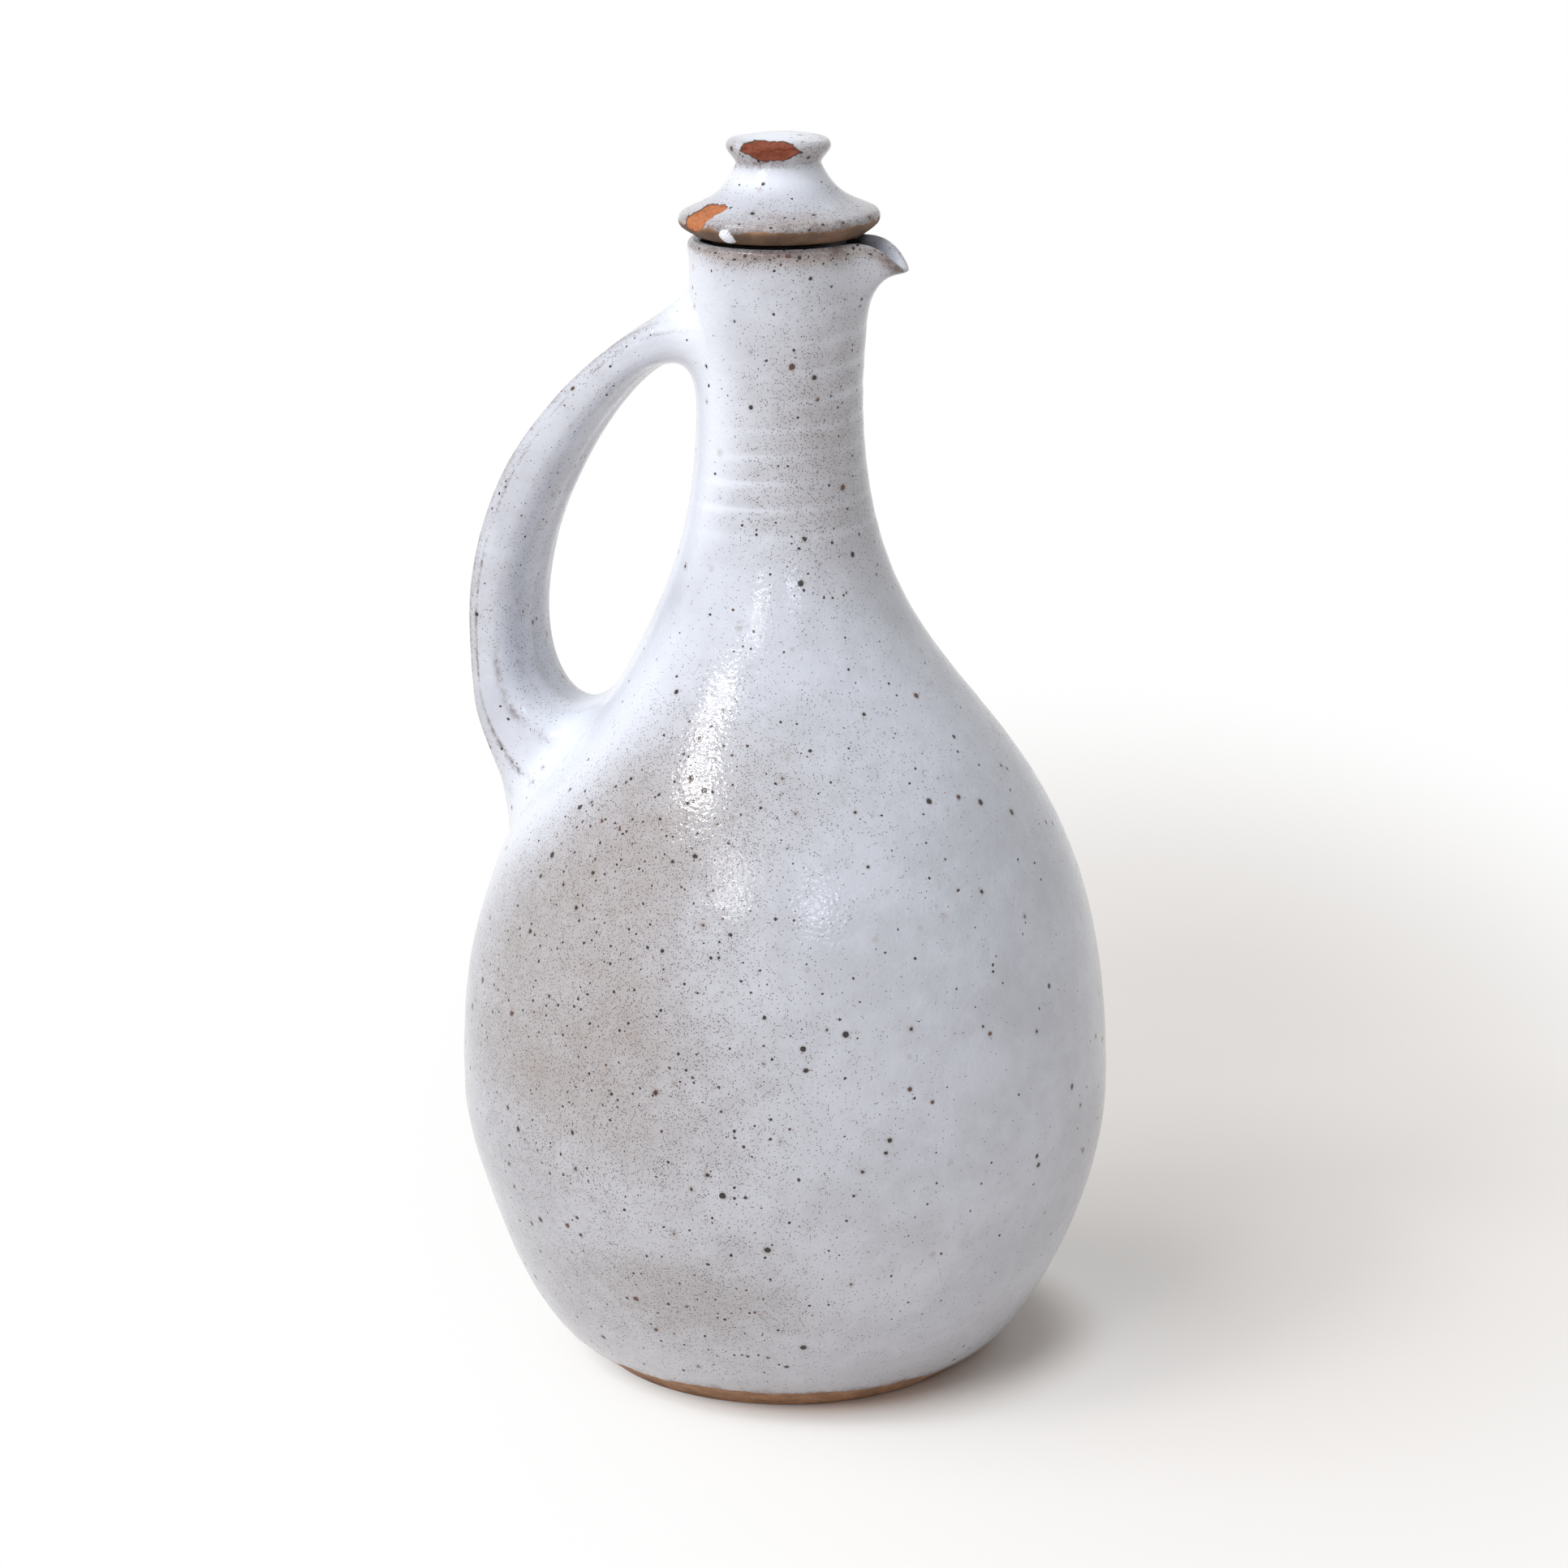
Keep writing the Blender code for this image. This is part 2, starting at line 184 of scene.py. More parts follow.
# Power of the strap's section, out in the free and at its roots
STRAP_SQUARENESS = 2.9
ROOT_SQUARENESS = 2.1
ARCH_ROWS = 120
FALL_ROWS = 90
STRAP_COLUMNS = 144
# Rows lie closer together towards the roots, by this power
ROOT_CROWDING = 1.7
# Places along a root's chord where the pot's curve is read: from, to and how many
ROOT_READING = (-0.3, 1.3, 81)
# Rows past either root: how much wider and how much deeper each is, and the sizes of the rows that close it
SKIRT_SPREADS = (0.0008, 0.0018, 0.0030)
SKIRT_DEPTHS = (0.00001, 0.00006, 0.0004)
CLOSING_ROWS = np.linspace(0.15, 0.85, 4)
# Gap to the pot over which the strap takes its own section and leaves the pot's slope, roundness and dents
FREE_GAP = (0.001, 0.012)
SLOPE_GAP = 0.012
WRAP_GAP = 0.016
DENT_GAP = 0.030
# Gap over which its glaze leaves the pot's, thick glaze ends, and the brown line and smear set in
MEETING_GAP = 0.010
POOL_GAP = 0.022
LINE_GAP = (0.0, 0.002)
SMEAR_GAP = (0.002, 0.009)

# Width of the thumb groove, as a share of the strap's half width
GROOVE_WIDTH = 0.45
# Fine lines along either edge of the strap, by turn from the edge's middle towards the outer face
EDGE_LINES = (math.radians(15.0), math.radians(-14.0))
# Marks on the strap: height, place across it or turn from its edge, and width
EDGE_CREASES = ((-0.00022, EDGE_LINES[0], 0.045), (-0.000132, EDGE_LINES[1], 0.07))
OUTER_MARKS = (
    (0.00045, -0.84, 0.055), (0.00045, 0.84, 0.055), (-0.00022, -0.66, 0.09), (-0.00022, 0.66, 0.09),
)
INNER_MARKS = (
    (-0.00026, -0.58, 0.20), (-0.00026, 0.60, 0.20), (-0.00016, -0.10, 0.16), (0.00010, 0.24, 0.18),
)
MARKED_FACE = (0.15, 0.75)
# Where the glaze breaks brown on the strap: strength, place across it or turn from its edge, and width
OUTER_BREAKS = ((1.0, -0.84, 0.04), (0.8, 0.84, 0.04))
INNER_BREAKS = ((0.25, -0.58, 0.06), (0.25, 0.60, 0.06))
EDGE_BREAK = (1.3, EDGE_LINES[0], 0.045)
SMEAR = (0.75, EDGE_LINES[1], 0.09)
SMEAR_HEIGHT = (0.176, 0.020)
STREAKS = ((1.0, -0.10, 0.12), (0.7, 0.45, 0.10))
STREAK_BREAK = 0.225
STREAK_POOLED = -0.25
# Lower down it breaks more: least share, the rest, and the heights between them
LOWER_BREAK = (0.55, 0.45)
LOWER_HEIGHTS = (0.190, 0.250)
# Pooled glaze out in the free and near the pot, and how much of that there is at the upper root
STRAP_POOLED = (0.04, 0.80)
UPPER_POOLED = 0.35
# Iron on the strap: everywhere, on the outer face, and on the inner face, where it is painted shade for the
# shadow there; growing this far up from the edge
STRAP_IRON_AND_SHADE = (0.12, 0.25, 0.12)
FACE_RISE = 0.9
STRAP_RIPPLE = (0.0, 0.00022, 0.030, 31)
RIPPLE_RISE = 0.5
STRAP_PATCHES = (0.65, 0.5, 0.011, 33)
STRAP_IRON_PATCHES = (0.0, 0.10, 0.040, 35)

# Stopper: sweep of its crown, its knob, its slope from waist to brim, its brim and its bevel
CROWN_ARMS = (0.40, 0.60)
CROWN_POLE = 0.0005
KNOB_TURN = math.radians(25.0)
KNOB_ARMS = (0.0016, 0.0014)
WAIST_ARM = (0.25, 0.62)
BRIM_ARM = (0.42, 0.30)
BRIM_DROP = 0.00035
NOSE_TURNS = (math.radians(58.0), math.radians(-49.0))
BEVEL_ARMS = ((-0.0011, -0.00095), (0.0011, 0.00068))
SEAT_STEP = (-0.0003, -0.0001)
SEAT_RISE = 0.0001
ROOF_TURN = 0.49 * math.pi
# Points of the crown, the knob's edge and taper, the slope, the brim, the bevel, the plug's end and its roof
CROWN_POINTS = 60
KNOB_POINTS = 30
SLOPE_POINTS = 90
NOSE_POINTS = 30
BEVEL_POINTS = 20
END_POINTS = 18
ROOF_POINTS = 24
# Rows of its surface lie this far apart, on the plug and above it
STOPPER_GAPS = (0.0011, 0.00030)
STOPPER_COLUMNS = 320
# Radius over which unevenness fades towards the axis
AXIS_FADE = 0.003
# Heights over which the brim's lean sets in and ends
LEAN_START = (0.0003, 0.0045)
LEAN_END = (0.010, 0.019)

# Iron on the stopper: millimetres down its slope from the waist, and how much
STOPPER_IRON = np.array((
    (-19.0, 0.10), (-11.0, 0.15), (-8.0, 0.50), (-5.0, 0.80), (-1.0, 0.80),
    (1.0, 0.10), (9.0, 0.16), (14.0, 0.45), (18.5, 0.85), (21.0, 0.90),
)).T
STOPPER_IRON_PATCHES = (0.0, 0.12, 0.020, 49)
# Swell of the stopper's surface above its bevel
STOPPER_LUMPS = (0.0, 0.00010, 0.014, 45)
LUMP_HEIGHTS = (0.0015, 0.0045)
# Where its glaze breaks brown, in millimetres from the waist and from the brim: strength, place and width
WAIST_BREAK = (0.85, -1.5, 1.6)
WAIST_PATCHES = (0.55, 0.5, 0.012, 48)
BRIM_BREAK = (1.0, -0.6, 1.7)
BRIM_WEAR = (0.35, 0.6)
# Where it pools, in millimetres from the waist, and where the crown's top is painted whiter as painted light,
# from the crown's middle: strength, place and width
WAIST_POOL = (0.7, 3.5, 3.5)
CROWN_LIGHT = (0.75, 2.0, 6.5)
# Painted shade on the bare clay, in millimetres past the brim: on the bevel under the brim with its strength,
# and on the plug in the neck
BEVEL_SHADE = (-1.0, 1.0)
BEVEL_SHADE_SHARE = 0.68
PLUG_SHADE = (4.5, 6.5)
STOPPER_GLAZE_RIPPLES = ((0.0, 0.35, 0.010, 46), (0.0, 0.20, 0.0030, 47))

# Chips, in millimetres: their middles up from the waist and the brim, and the raggedness of their edges
KNOB_CHIP_PLACE = -6.4
BRIM_CHIP_PLACE = -4.0
CHIP_RIPPLES = ((0.0, 0.35, 0.0045, 41), (0.0, 0.18, 0.0016, 42))
# Depth of a chip: its unevenness and the range of that, and its share and reach at the edge and farther in
CHIP_PATCHES = ((0.75, 0.30, 0.0050, 43), (0.0, 0.12, 0.0018, 44))
CHIP_RANGE = (0.2, 1.3)
CHIP_EDGE = (0.45, -0.15, 0.25)
CHIP_BOWL = (0.55, 0.0, 2.6)
# Ledge inside the knob's chip: place up from the waist and its unevenness, its rise, its start and its depth
LEDGE_PATCHES = (7.6, 0.9, 0.009, 50)
LEDGE_RISE = (-0.15, 0.20)
LEDGE_START = (0.3, 1.0)
LEDGE_DEPTH = 0.00045
# Painted shade in the knob's chip on the knob's lower edge: the range past the chip's edge over which it sets
# in, and how strong
KNOB_CHIP_SHADE = (-0.2, 0.1)
KNOB_CHIP_SHADE_SHARE = 0.92
# Drop of glaze on the bevel: millimetres below the brim, length by width, height, steepness of its edge
DRIP_PLACE = 2.3
DRIP_STRETCH = 1.35
DRIP_HEIGHT = 0.0009
DRIP_EDGE = 14.0

# What the glaze does, and where shade and light are painted, kept point by point on each piece for its material
# to read
FIELDS = ("clay_line", "thin_glaze", "pooled_glaze_and_light", "iron_and_shade_share", "painted_shade", "chip")
# Values of the fields where a piece has no chip, and no bare clay, in millimetres
NO_CHIP = -9.0
NO_CLAY = -9.0

# Outlines of the two chips, in millimetres round the stopper and down its slope from the chip's middle
KNOB_CHIP = (
    (-8.1, 1.3), (-7.1, -0.6), (-5.0, -4.1), (0.2, -4.7), (2.8, -3.5), (8.4, 1.5), (3.3, 4.2), (-3.2, 4.3),
    (-6.5, 2.5),
)
BRIM_CHIP = (
    (3.8, -5.3), (2.1, -5.8), (-1.5, -5.7), (-4.7, -4.6), (-5.4, -1.3), (-4.9, 2.2), (-3.4, 5.1), (-0.3, 6.0),
    (2.3, 4.9), (4.3, 3.3), (4.6, -4.5),
)

# A mix of two colours: the output and the setting that make it so
COLOUR = {"output": 2, "data_type": 'RGBA'}
# A range with an S-shaped rise
SOFT = {"interpolation_type": 'SMOOTHSTEP'}
WHITE = (1.0, 1.0, 1.0, 1.0)
# Iron grains: size of a cell and radius of the largest; the finest pepper is drawn twice as coarse to show
PEPPER = (0.48 * MM, 0.22 * MM)
SPECKS = (2.1 * MM, 0.50 * MM)
SPOTS = (4.6 * MM, 0.95 * MM)
RIM_CRUMBS = (1.7 * MM, 0.75 * MM)
# Share of cells with a grain: how much it grows with the iron, and how much there is without
PEPPER_SHARE = (1.90, -0.09)
SPECK_SHARE = (0.80, 0.03)
SPOT_SHARE = (0.36, 0.15)
# Grains differ in size by this swing above a least share; their core and bleed, as shares of a grain
GRAIN_SIZES = (0.6, 0.4)
GRAIN_EDGES = (0.82, 1.8)
# Size and height of the glaze's peel (drawn twice as coarse, to show), ripple and swell, in millimetres
GLAZE_BUMPS = ((1.1, 0.105), (3.4, 0.070), (9.0, 0.070))

# Light of the white room, as a share of white
ROOM_LIGHT = 0.35
# Rings of the floor: how much wider each next one is and how many; and its columns
FLOOR_RINGS = (1.35, 18)
FLOOR_COLUMNS = 96
# Middle of the pot's shadow on the floor, how far its long side is turned, and how it is stretched
SHADOW_MIDDLE = (0.050, 0.214, 0.0)
SHADOW_TURN = math.radians(20.0)
SHADOW_STRETCH = (1.6, 0.75, 1.0)
# Distance from the shadow's middle where the floor starts and ends to pale, and how pale it is at both
SHADOW_REACH = (0.08, 0.40)
SHADOW_PALENESS = (0.28, 1.0)
# Middle of the darkest shadow, where the pot stands, and how far from there the floor starts and ends to pale
CONTACT_MIDDLE = (0.014, 0.008, 0.0)
CONTACT_REACH = (0.050, 0.074)

# Soft lamps like windows: name, azimuth, elevation, distance, width, height, watts, colour, seen in the glaze
LAMPS = (
    ("window_front", -3.5, 32.3, 1.75, 0.22, 0.08, 1.5, "#fffdfa", True),
    ("window_wide", -8.0, 37.0, 1.80, 0.95, 0.65, 8.7, "#f4f8ff", False),
    ("window_upper", -7.0, 40.5, 1.75, 0.36, 0.10, 1.2, "#fffdfa", True),
    ("window_left", -38.0, 50.8, 1.70, 0.46, 0.050, 5.2, "#fffdfa", True),
    ("window_small", 32.0, 30.0, 1.80, 0.28, 0.14, 1.6, "#dfe9ff", True),
    ("skylight", -58.0, 60.0, 1.75, 1.10, 0.90, 12.2, "#f4f8ff", False),
)
LAMP_AIM = (0.0, 0.0, 0.15)
SENSOR_WIDTH = 36.0


def linear(code):
    """An sRGB hex colour as linear red, green, blue and alpha."""
    channels = np.array([int(code[i:i + 2], 16) for i in (1, 3, 5)]) / 255.0
    values = np.where(channels <= 0.04045, channels / 12.92, ((channels + 0.055) / 1.055) ** 2.4)
    return (*values.tolist(), 1.0)


def length(name, description, default):
    """A length property in metres."""
    return FloatProperty(name=name, description=description, default=default, unit='LENGTH', precision=5)


def angle(name, description, degrees):
    """An angle property."""
    return FloatProperty(name=name, description=description, default=math.radians(degrees), unit='ROTATION')


def colour(name, description, code):
    """A colour property from its sRGB hex value."""
    return FloatVectorProperty(
        name=name, description=description, default=linear(code), subtype='COLOR', size=4, min=0.0, max=1.0
    )


class PitcherBodySettings(bpy.types.PropertyGroup):
    """Sizes of the thrown body."""

    foot_radius: length("Foot radius", "Radius of the flat base", 0.0492)
    bevel_radius: length("Bevel radius", "Radius at the top of the trimmed bevel above the base", 0.0570)
    bevel_height: length("Bevel height", "Height of the trimmed bevel", 0.0060)
    belly_radius: length("Belly radius", "Largest radius", BELLY_REACH)
    belly_height: length("Belly height", "Height of the largest radius", 0.0730)
    neck_radius: length("Neck radius", "Smallest radius", 0.0213)
    neck_height: length("Neck height", "Height of the smallest radius", 0.2540)
    rim_radius: length("Rim radius", "Outer radius of the rim", 0.0228)
    rim_height: length("Rim height", "Height of the rim", BODY_TOP)
    belly_wall: length("Wall at the base", "Wall thickness at the base, thinning to the rim", 0.0055)
    rim_wall: length("Wall at the rim", "Wall thickness at the rim", 0.0030)
    floor_thickness: length("Floor", "Thickness of the floor", 0.0080)
    floor_fillet: length("Floor fillet", "Round corner between the wall and the floor inside", 0.0100)
    spout_turn: angle("Spout turn", "How far the spout is turned from the handle's plane", 3.3)
    spout_pull: length("Spout pull", "How far the rim is drawn out at the spout", 0.0094)
    spout_droop: length("Spout droop", "How far the rim is drawn down at the spout's tip", 0.0075)
    spout_depth: length("Spout depth", "How far below the rim the pull begins", 0.0260)
    spout_spread: angle("Spout spread", "How wide round the rim the pull reaches", 15.4)
    tip_spread: angle("Tip spread", "How wide round the rim the droop reaches", 11.0)
    spout_roll: length("Spout roll", "How much thicker the lip is rolled at the spout", 0.0015)
    rim_roll: length("Rim roll", "How far the rim stands out as a soft bead", 0.0003)
    glaze_line: length("Glaze line", "Height above the base where the glaze ends", 0.0055)
    glaze_sway: length("Glaze sway", "How much higher the glaze ends on one side", 0.0026)
    sway_angle: angle("Sway angle", "Side where the glaze ends highest", -128.0)
    glaze_step: length("Glaze step", "Thickness of the glaze where it ends on bare clay", 0.00025)


class PitcherHandleSettings(bpy.types.PropertyGroup):
    """Sizes of the pulled strap handle."""

    outer_top: length("Outer top", "Height where the outer face leaves the neck", 0.2830)
    inner_top: length("Inner top", "Height where the inner face leaves the neck", 0.2516)
    outer_reach: length("Reach", "Distance from the pot's axis to the outermost point", 0.0828)
    reach_height: length("Reach height", "Height of the outermost point", 0.1910)
    outer_bottom: length("Outer bottom", "Height where the outer face meets the shoulder", 0.1340)
    inner_bottom: length("Inner bottom", "Height where the inner face meets the shoulder", 0.1713)
    thickness: length("Thickness", "Thickness of the strap at the outermost point", 0.0142)
    top_width: length("Top width", "Width of the strap at the neck", 0.0290)
    width: length("Width", "Width of the strap at the outermost point", 0.0335)
    bottom_width: length("Bottom width", "Width of the strap at the shoulder", 0.0380)
    thumb_groove: length("Thumb groove", "Depth of the groove down the outer face", 0.0010)
    root_fillet: length("Root fillet", "How far the strap is smeared out where it meets the pot", 0.0070)


class PitcherStopperSettings(bpy.types.PropertyGroup):
    """Sizes of the loose stopper, heights measured from its seat on the rim."""

    seat_height: length("Seat height", "Height of the seat above the pot's base", STOPPER_TOP - 0.0252)
    height: length("Height", "Height from seat to crown", 0.0252)
    knob_radius: length("Knob radius", "Radius of the knob", 0.0131)
    knob_depth: length("Knob depth", "Depth of the knob from its crown to the waist", 0.0070)
    knob_crown: length("Knob crown", "Rise of the knob's top", 0.0007)
    knob_edge: length("Knob edge", "Roundness of the knob's upper edge", 0.0017)
    waist_radius: length("Waist radius", "Radius under the knob", 0.0106)
    brim_radius: length("Brim radius", "Radius of the brim", 0.0254)
    brim_rise: length("Brim rise", "Height of the brim's edge", 0.0050)
    brim_edge: length("Brim edge", "Roundness of the brim's edge", 0.0021)
    brim_lean: length("Brim lean", "How much higher the uneven brim runs on one side", 0.00035)
    lean_angle: angle("Lean angle", "Direction of the brim's higher side", 20.0)
    bevel_radius: length("Bevel radius", "Radius at the lower end of the bare bevel", 0.0214)
    bevel_gap: length("Bevel gap", "Height of the bevel's lower end above the seat", 0.0008)
    plug_radius: length("Plug radius", "Radius of the plug at the seat", 0.01695)
    plug_taper: length("Plug taper", "How much the plug narrows to its end", 0.0014)
    plug_length: length("Plug length", "Length of the plug below the seat", 0.0240)
    plug_wall: length("Plug wall", "Wall of the hollow plug", 0.0045)
    hollow_rise: length("Hollow rise", "Height of the hollow's top above the seat", 0.0040)
    knob_chip_angle: angle("Knob chip", "Where the chip on the knob is", -80.0)
    brim_chip_angle: angle("Brim chip", "Where the chip on the brim is", -128.0)
    chip_depth: length("Chip depth", "How deep the chips go", 0.0011)
    drip_angle: angle("Drip", "Where a drop of glaze hangs on the bare bevel", -102.0)
    drip_radius: length("Drip radius", "Radius of the drop of glaze", 0.0021)


class PitcherGlazeSettings(bpy.types.PropertyGroup):
    """Colours of the glaze and of the clay under it."""

    white: colour("White", "The glaze at its usual thickness", "#d2d6e0")
    grey: colour("Grey", "The glaze where it lies a little thinner", "#c3c6cf")
    pooled: colour("Pooled", "The glaze where it has run together", "#eaeef7")
    warm: colour("Warm", "The glaze where much iron has bled into it", "#a9a2a0")
    broken: colour("Broken", "The glaze where it breaks brown over an edge", "#6f5f5c")
    pepper: colour("Pepper", "Fine iron grains under the glaze", "#4c3f3b")
    speck: colour("Speck", "Larger iron grains that came through the glaze", "#160f0c")
    rust: colour("Rust", "Larger iron grains that bled rusty", "#6b3f2b")
    halo: colour("Halo", "Brown bleed round a large grain", "#8d7868")
    clay: colour("Clay", "Bare fired clay", "#bb9170")
    toasted_clay: colour("Toasted clay", "Bare clay where the fire toasted it darker", "#8f6b50")
    # Painted shade: the plug's clay, and partly the bevel's, is painted this dark for the shadow under the
    # stopper
    painted_shade_clay: colour("Dark clay", "Bare clay of the plug, stained dark", "#180f08")
    fresh_clay: colour("Fresh clay", "Fresh clay inside a chip", "#c67f53")
    burnt_clay: colour("Burnt clay", "Darker clay inside a chip", "#ac663f")
    # Painted shade: the knob's chip on the knob's lower edge is painted this dark
    painted_shade_chip_clay: colour("Scorched clay", "Clay inside a chip where the fire scorched it", "#702b0f")
    chip_edge: colour("Chip edge", "Dark edge of a chip", "#4c2a1a")
    # Painted shade: the glaze inside the pot is painted this dark for the shadow in the neck
    inside: colour("Inside", "The stained glaze inside the pot", "#3b3531")


class PitcherStageSettings(bpy.types.PropertyGroup):
    """Camera, lamps and floor."""

    camera_azimuth: angle("Camera azimuth", "Direction of the camera round the pot", 20.0)
    camera_pitch: angle("Camera pitch", "How far the camera looks down", 15.60)
    camera_roll: angle("Camera roll", "Tilt of the camera about its own view", -0.40)
    camera_distance: length("Camera distance", "Distance of the camera from the pot's axis", 1.1740)
    camera_height: length("Camera height", "Height of the camera", 0.4802)
    camera_aside: length("Camera aside", "Sideways place of the camera", 0.00023)
    camera_lens: FloatProperty(name="Lens", description="Focal length", default=108.07, unit='CAMERA')
    floor_colour: colour("Floor", "Matt pale floor", "#f2eae2")
    floor_radius: length("Floor radius", "Radius of the floor", 9.0)


def smooth(low, high, value):
    """0 below low and 1 above high, with an S-shaped rise between them."""
    share = np.clip((value - low) / (high - low), 0.0, 1.0)
    return share * share * (3.0 - 2.0 * share)


def bell(value, centre, width):
    """1 at the centre, falling off evenly on both sides: e to the minus (distance / width) squared."""
    return np.exp(-(((value - centre) / width) ** 2))


def bells(value, *humps):
    """A sum of bells, each with its strength, centre and width."""
    return sum(strength * bell(value, centre, width) for strength, centre, width in humps)


def turn_from(angles, centre):
    """Angles measured from a centre, from -180 to 180 degrees."""
    return (angles - centre + math.pi) % math.tau - math.pi


def waves(points, size, seed, count=14):
    """Soft unevenness from about -1 to 1: a mean of plane waves of about that length.

    Their directions, lengths and starts are random and seeded.
    """
    rng = np.random.default_rng(seed)
    heads = rng.normal(size=(count, 3))
    heads *= (math.tau / size * rng.uniform(0.7, 1.3, count) / np.linalg.norm(heads, axis=1))[:, None]
    return np.sin(points @ heads.T + rng.uniform(0.0, math.tau, count)).sum(axis=-1) / math.sqrt(count)


def uneven(points, mean, swing, size, seed):
    """A mean with soft unevenness about it."""
    return mean + swing * waves(points, size, seed)


def cubic(start, arm_a, arm_b, end, count, crowding=1.0):
    """Points of a cubic curve from start to end, both included, crowded towards the start by a power."""
    t = np.linspace(0.0, 1.0, count)[:, None] ** crowding
    a, b, c, d = (np.asarray(p, dtype=float) for p in (start, arm_a, arm_b, end))
    return (1 - t) ** 3 * a + 3 * (1 - t) ** 2 * t * b + 3 * (1 - t) * t ** 2 * c + t ** 3 * d


def arc(centre, radius, from_angle, to_angle, count):
    """Points of a circle's arc in the profile's plane; radius is one number or one each way."""
    turn = np.linspace(from_angle, to_angle, count)
    return np.asarray(centre) + np.stack([np.cos(turn), np.sin(turn)], axis=-1) * radius


def path_lengths(line):
    """Distance along a line from its start to each of its points."""
    return np.concatenate([[0.0], np.cumsum(np.linalg.norm(np.diff(line, axis=0), axis=1))])


def spaced(line, gaps):
    """Points along a line as far apart as gaps says: even steps of its length divided by the gap."""
    steps = np.diff(path_lengths(line)) * 2 / (gaps[1:] + gaps[:-1])
    reach = np.concatenate([[0.0], np.cumsum(steps)])
    places = np.linspace(0.0, reach[-1], math.ceil(reach[-1]) + 1)
    return np.stack([np.interp(places, reach, line[:, 0]), np.interp(places, reach, line[:, 1])], axis=-1)


def profile_normals(line):
    """Unit normals of a profile in (radius, height), on its right-hand side as it runs on."""
    along = np.gradient(line, axis=0)
    along /= np.linalg.norm(along, axis=1)[:, None]
    return np.stack([along[:, 1], -along[:, 0]], axis=-1)


def on_side(side, height):
    """The point of an upright profile at a height."""
    return np.array((np.interp(height, side[:, 1], side[:, 0]), height))


def around_axis(radius, theta, height):
    """Points at a radius, an angle and a height."""
    return np.stack([radius * np.cos(theta), radius * np.sin(theta), height], axis=-1)


def turned(outline, columns):
    """A profile turned about the axis: its columns' angles, and each point's radius, height and place."""
    theta = np.arange(columns)[None, :] * math.tau / columns
    radius = np.repeat(outline[:, :1], columns, axis=1)
    height = np.repeat(outline[:, 1:], columns, axis=1)
    return theta, radius, height, around_axis(radius, theta, height)


def body_side(body):
    """The pot's outer side in (radius, height): cubic curves to the belly, the neck and the rim."""
    low_rise = body.belly_height - body.bevel_height
    high_rise = body.neck_height - body.belly_height
    edge = body.rim_height - body.rim_wall / 2
    rim_rise = edge - body.neck_height
    lift = LOWER_WALL_ARM * low_rise
    bevel = np.array((body.bevel_radius, body.bevel_height))
    bevel_arm = bevel + lift * np.array((math.cos(LOWER_WALL_ANGLE), math.sin(LOWER_WALL_ANGLE)))
    belly = np.array((body.belly_radius, body.belly_height))
    neck = np.array((body.neck_radius, body.neck_height))
    rim = np.array((body.rim_radius, edge))
    up = np.array((0.0, 1.0))
    belly_arm = belly + up * BELLY_ARMS[1] * high_rise
    neck_arm = neck + up * NECK_ARMS[1] * rim_rise
    lower = cubic(bevel, bevel_arm, belly - up * BELLY_ARMS[0] * low_rise, belly, SIDE_POINTS[0])
    upper = cubic(belly, belly_arm, neck - up * NECK_ARMS[0] * high_rise, neck, SIDE_POINTS[1])
    collar = cubic(neck, neck_arm, rim - up * RIM_ARM * rim_rise, rim, SIDE_POINTS[2])
    return np.concatenate([lower[:-1], upper[:-1], collar])


def body_inside(body, side):
    """The pot's inner side from rim to floor: the outer side moved in by the wall, with a round corner."""
    wall = body.belly_wall + (body.rim_wall - body.belly_wall) * side[:, 1] / body.rim_height
    inner = side - profile_normals(side) * wall[:, None]
    inner = inner[inner[:, 1] > body.floor_thickness + body.floor_fillet][::-1]
    down = (inner[-1] - inner[-2]) / np.linalg.norm(inner[-1] - inner[-2])
    edge = inner[-1, 0] - 2 * body.floor_fillet
    floor = body.floor_thickness
    arm = inner[-1] + down * body.floor_fillet
    corner = cubic(inner[-1], arm, (edge + body.floor_fillet, floor), (edge, floor), CORNER_ROWS)
    flat = np.stack([np.linspace(edge, POLE_RADIUS, FLOOR_ROWS), np.full(FLOOR_ROWS, floor)], axis=-1)
    return np.concatenate([inner, corner[1:], flat[1:]])


def near_roots(theta, radius, height, roots):
    """1 on the pot round the handle's roots and 0 well outside an ellipse round each one's middle."""
    share = 0.0
    for middle, half_width, half_height in roots:
        across = turn_from(theta, math.pi) * radius / half_width
        up = (height - middle) / half_height
        share = np.maximum(share, 1.0 - smooth(*ROOT_EDGE, np.hypot(across, up)))
    return share


def body_outline(body):
    """The pot's profile in (radius, height): out under the base, up the side, over the lip and down inside.

    Gives back the profile and the row where its lip starts.
    """
    dense = body_side(body)
    gaps = np.interp(dense[:, 1], *ROW_GAPS)
    side = spaced(dense, gaps)
    foot = np.array((body.foot_radius, 0.0))
    bevel = side[0] - foot
    edge, end = (foot + bevel * share for share in FOOT_SHARES)
    base = np.linspace(POLE_RADIUS, body.foot_radius - FOOT_ROUNDING, BASE_ROWS)
    base = np.stack([base, np.zeros(BASE_ROWS)], axis=-1)
    foot_edge = cubic(base[-1], foot - (FOOT_ARM, 0.0), edge, end, EDGE_ROWS)
    trim = foot + bevel * np.linspace(FOOT_SHARES[1], 1.0, TRIM_ROWS)[:, None]
    lip_centre = (body.rim_radius - body.rim_wall / 2, body.rim_height - body.rim_wall / 2)
    lip = arc(lip_centre, body.rim_wall / 2, 0.0, math.pi, LIP_ROWS)
    inside = body_inside(body, spaced(dense, INSIDE_GAPS[0] * gaps + INSIDE_GAPS[1]))
    outer = np.concatenate([base, foot_edge[1:-1], trim[:-1], side[:-1]])
    return np.concatenate([outer, lip, inside[1:]]), len(outer)


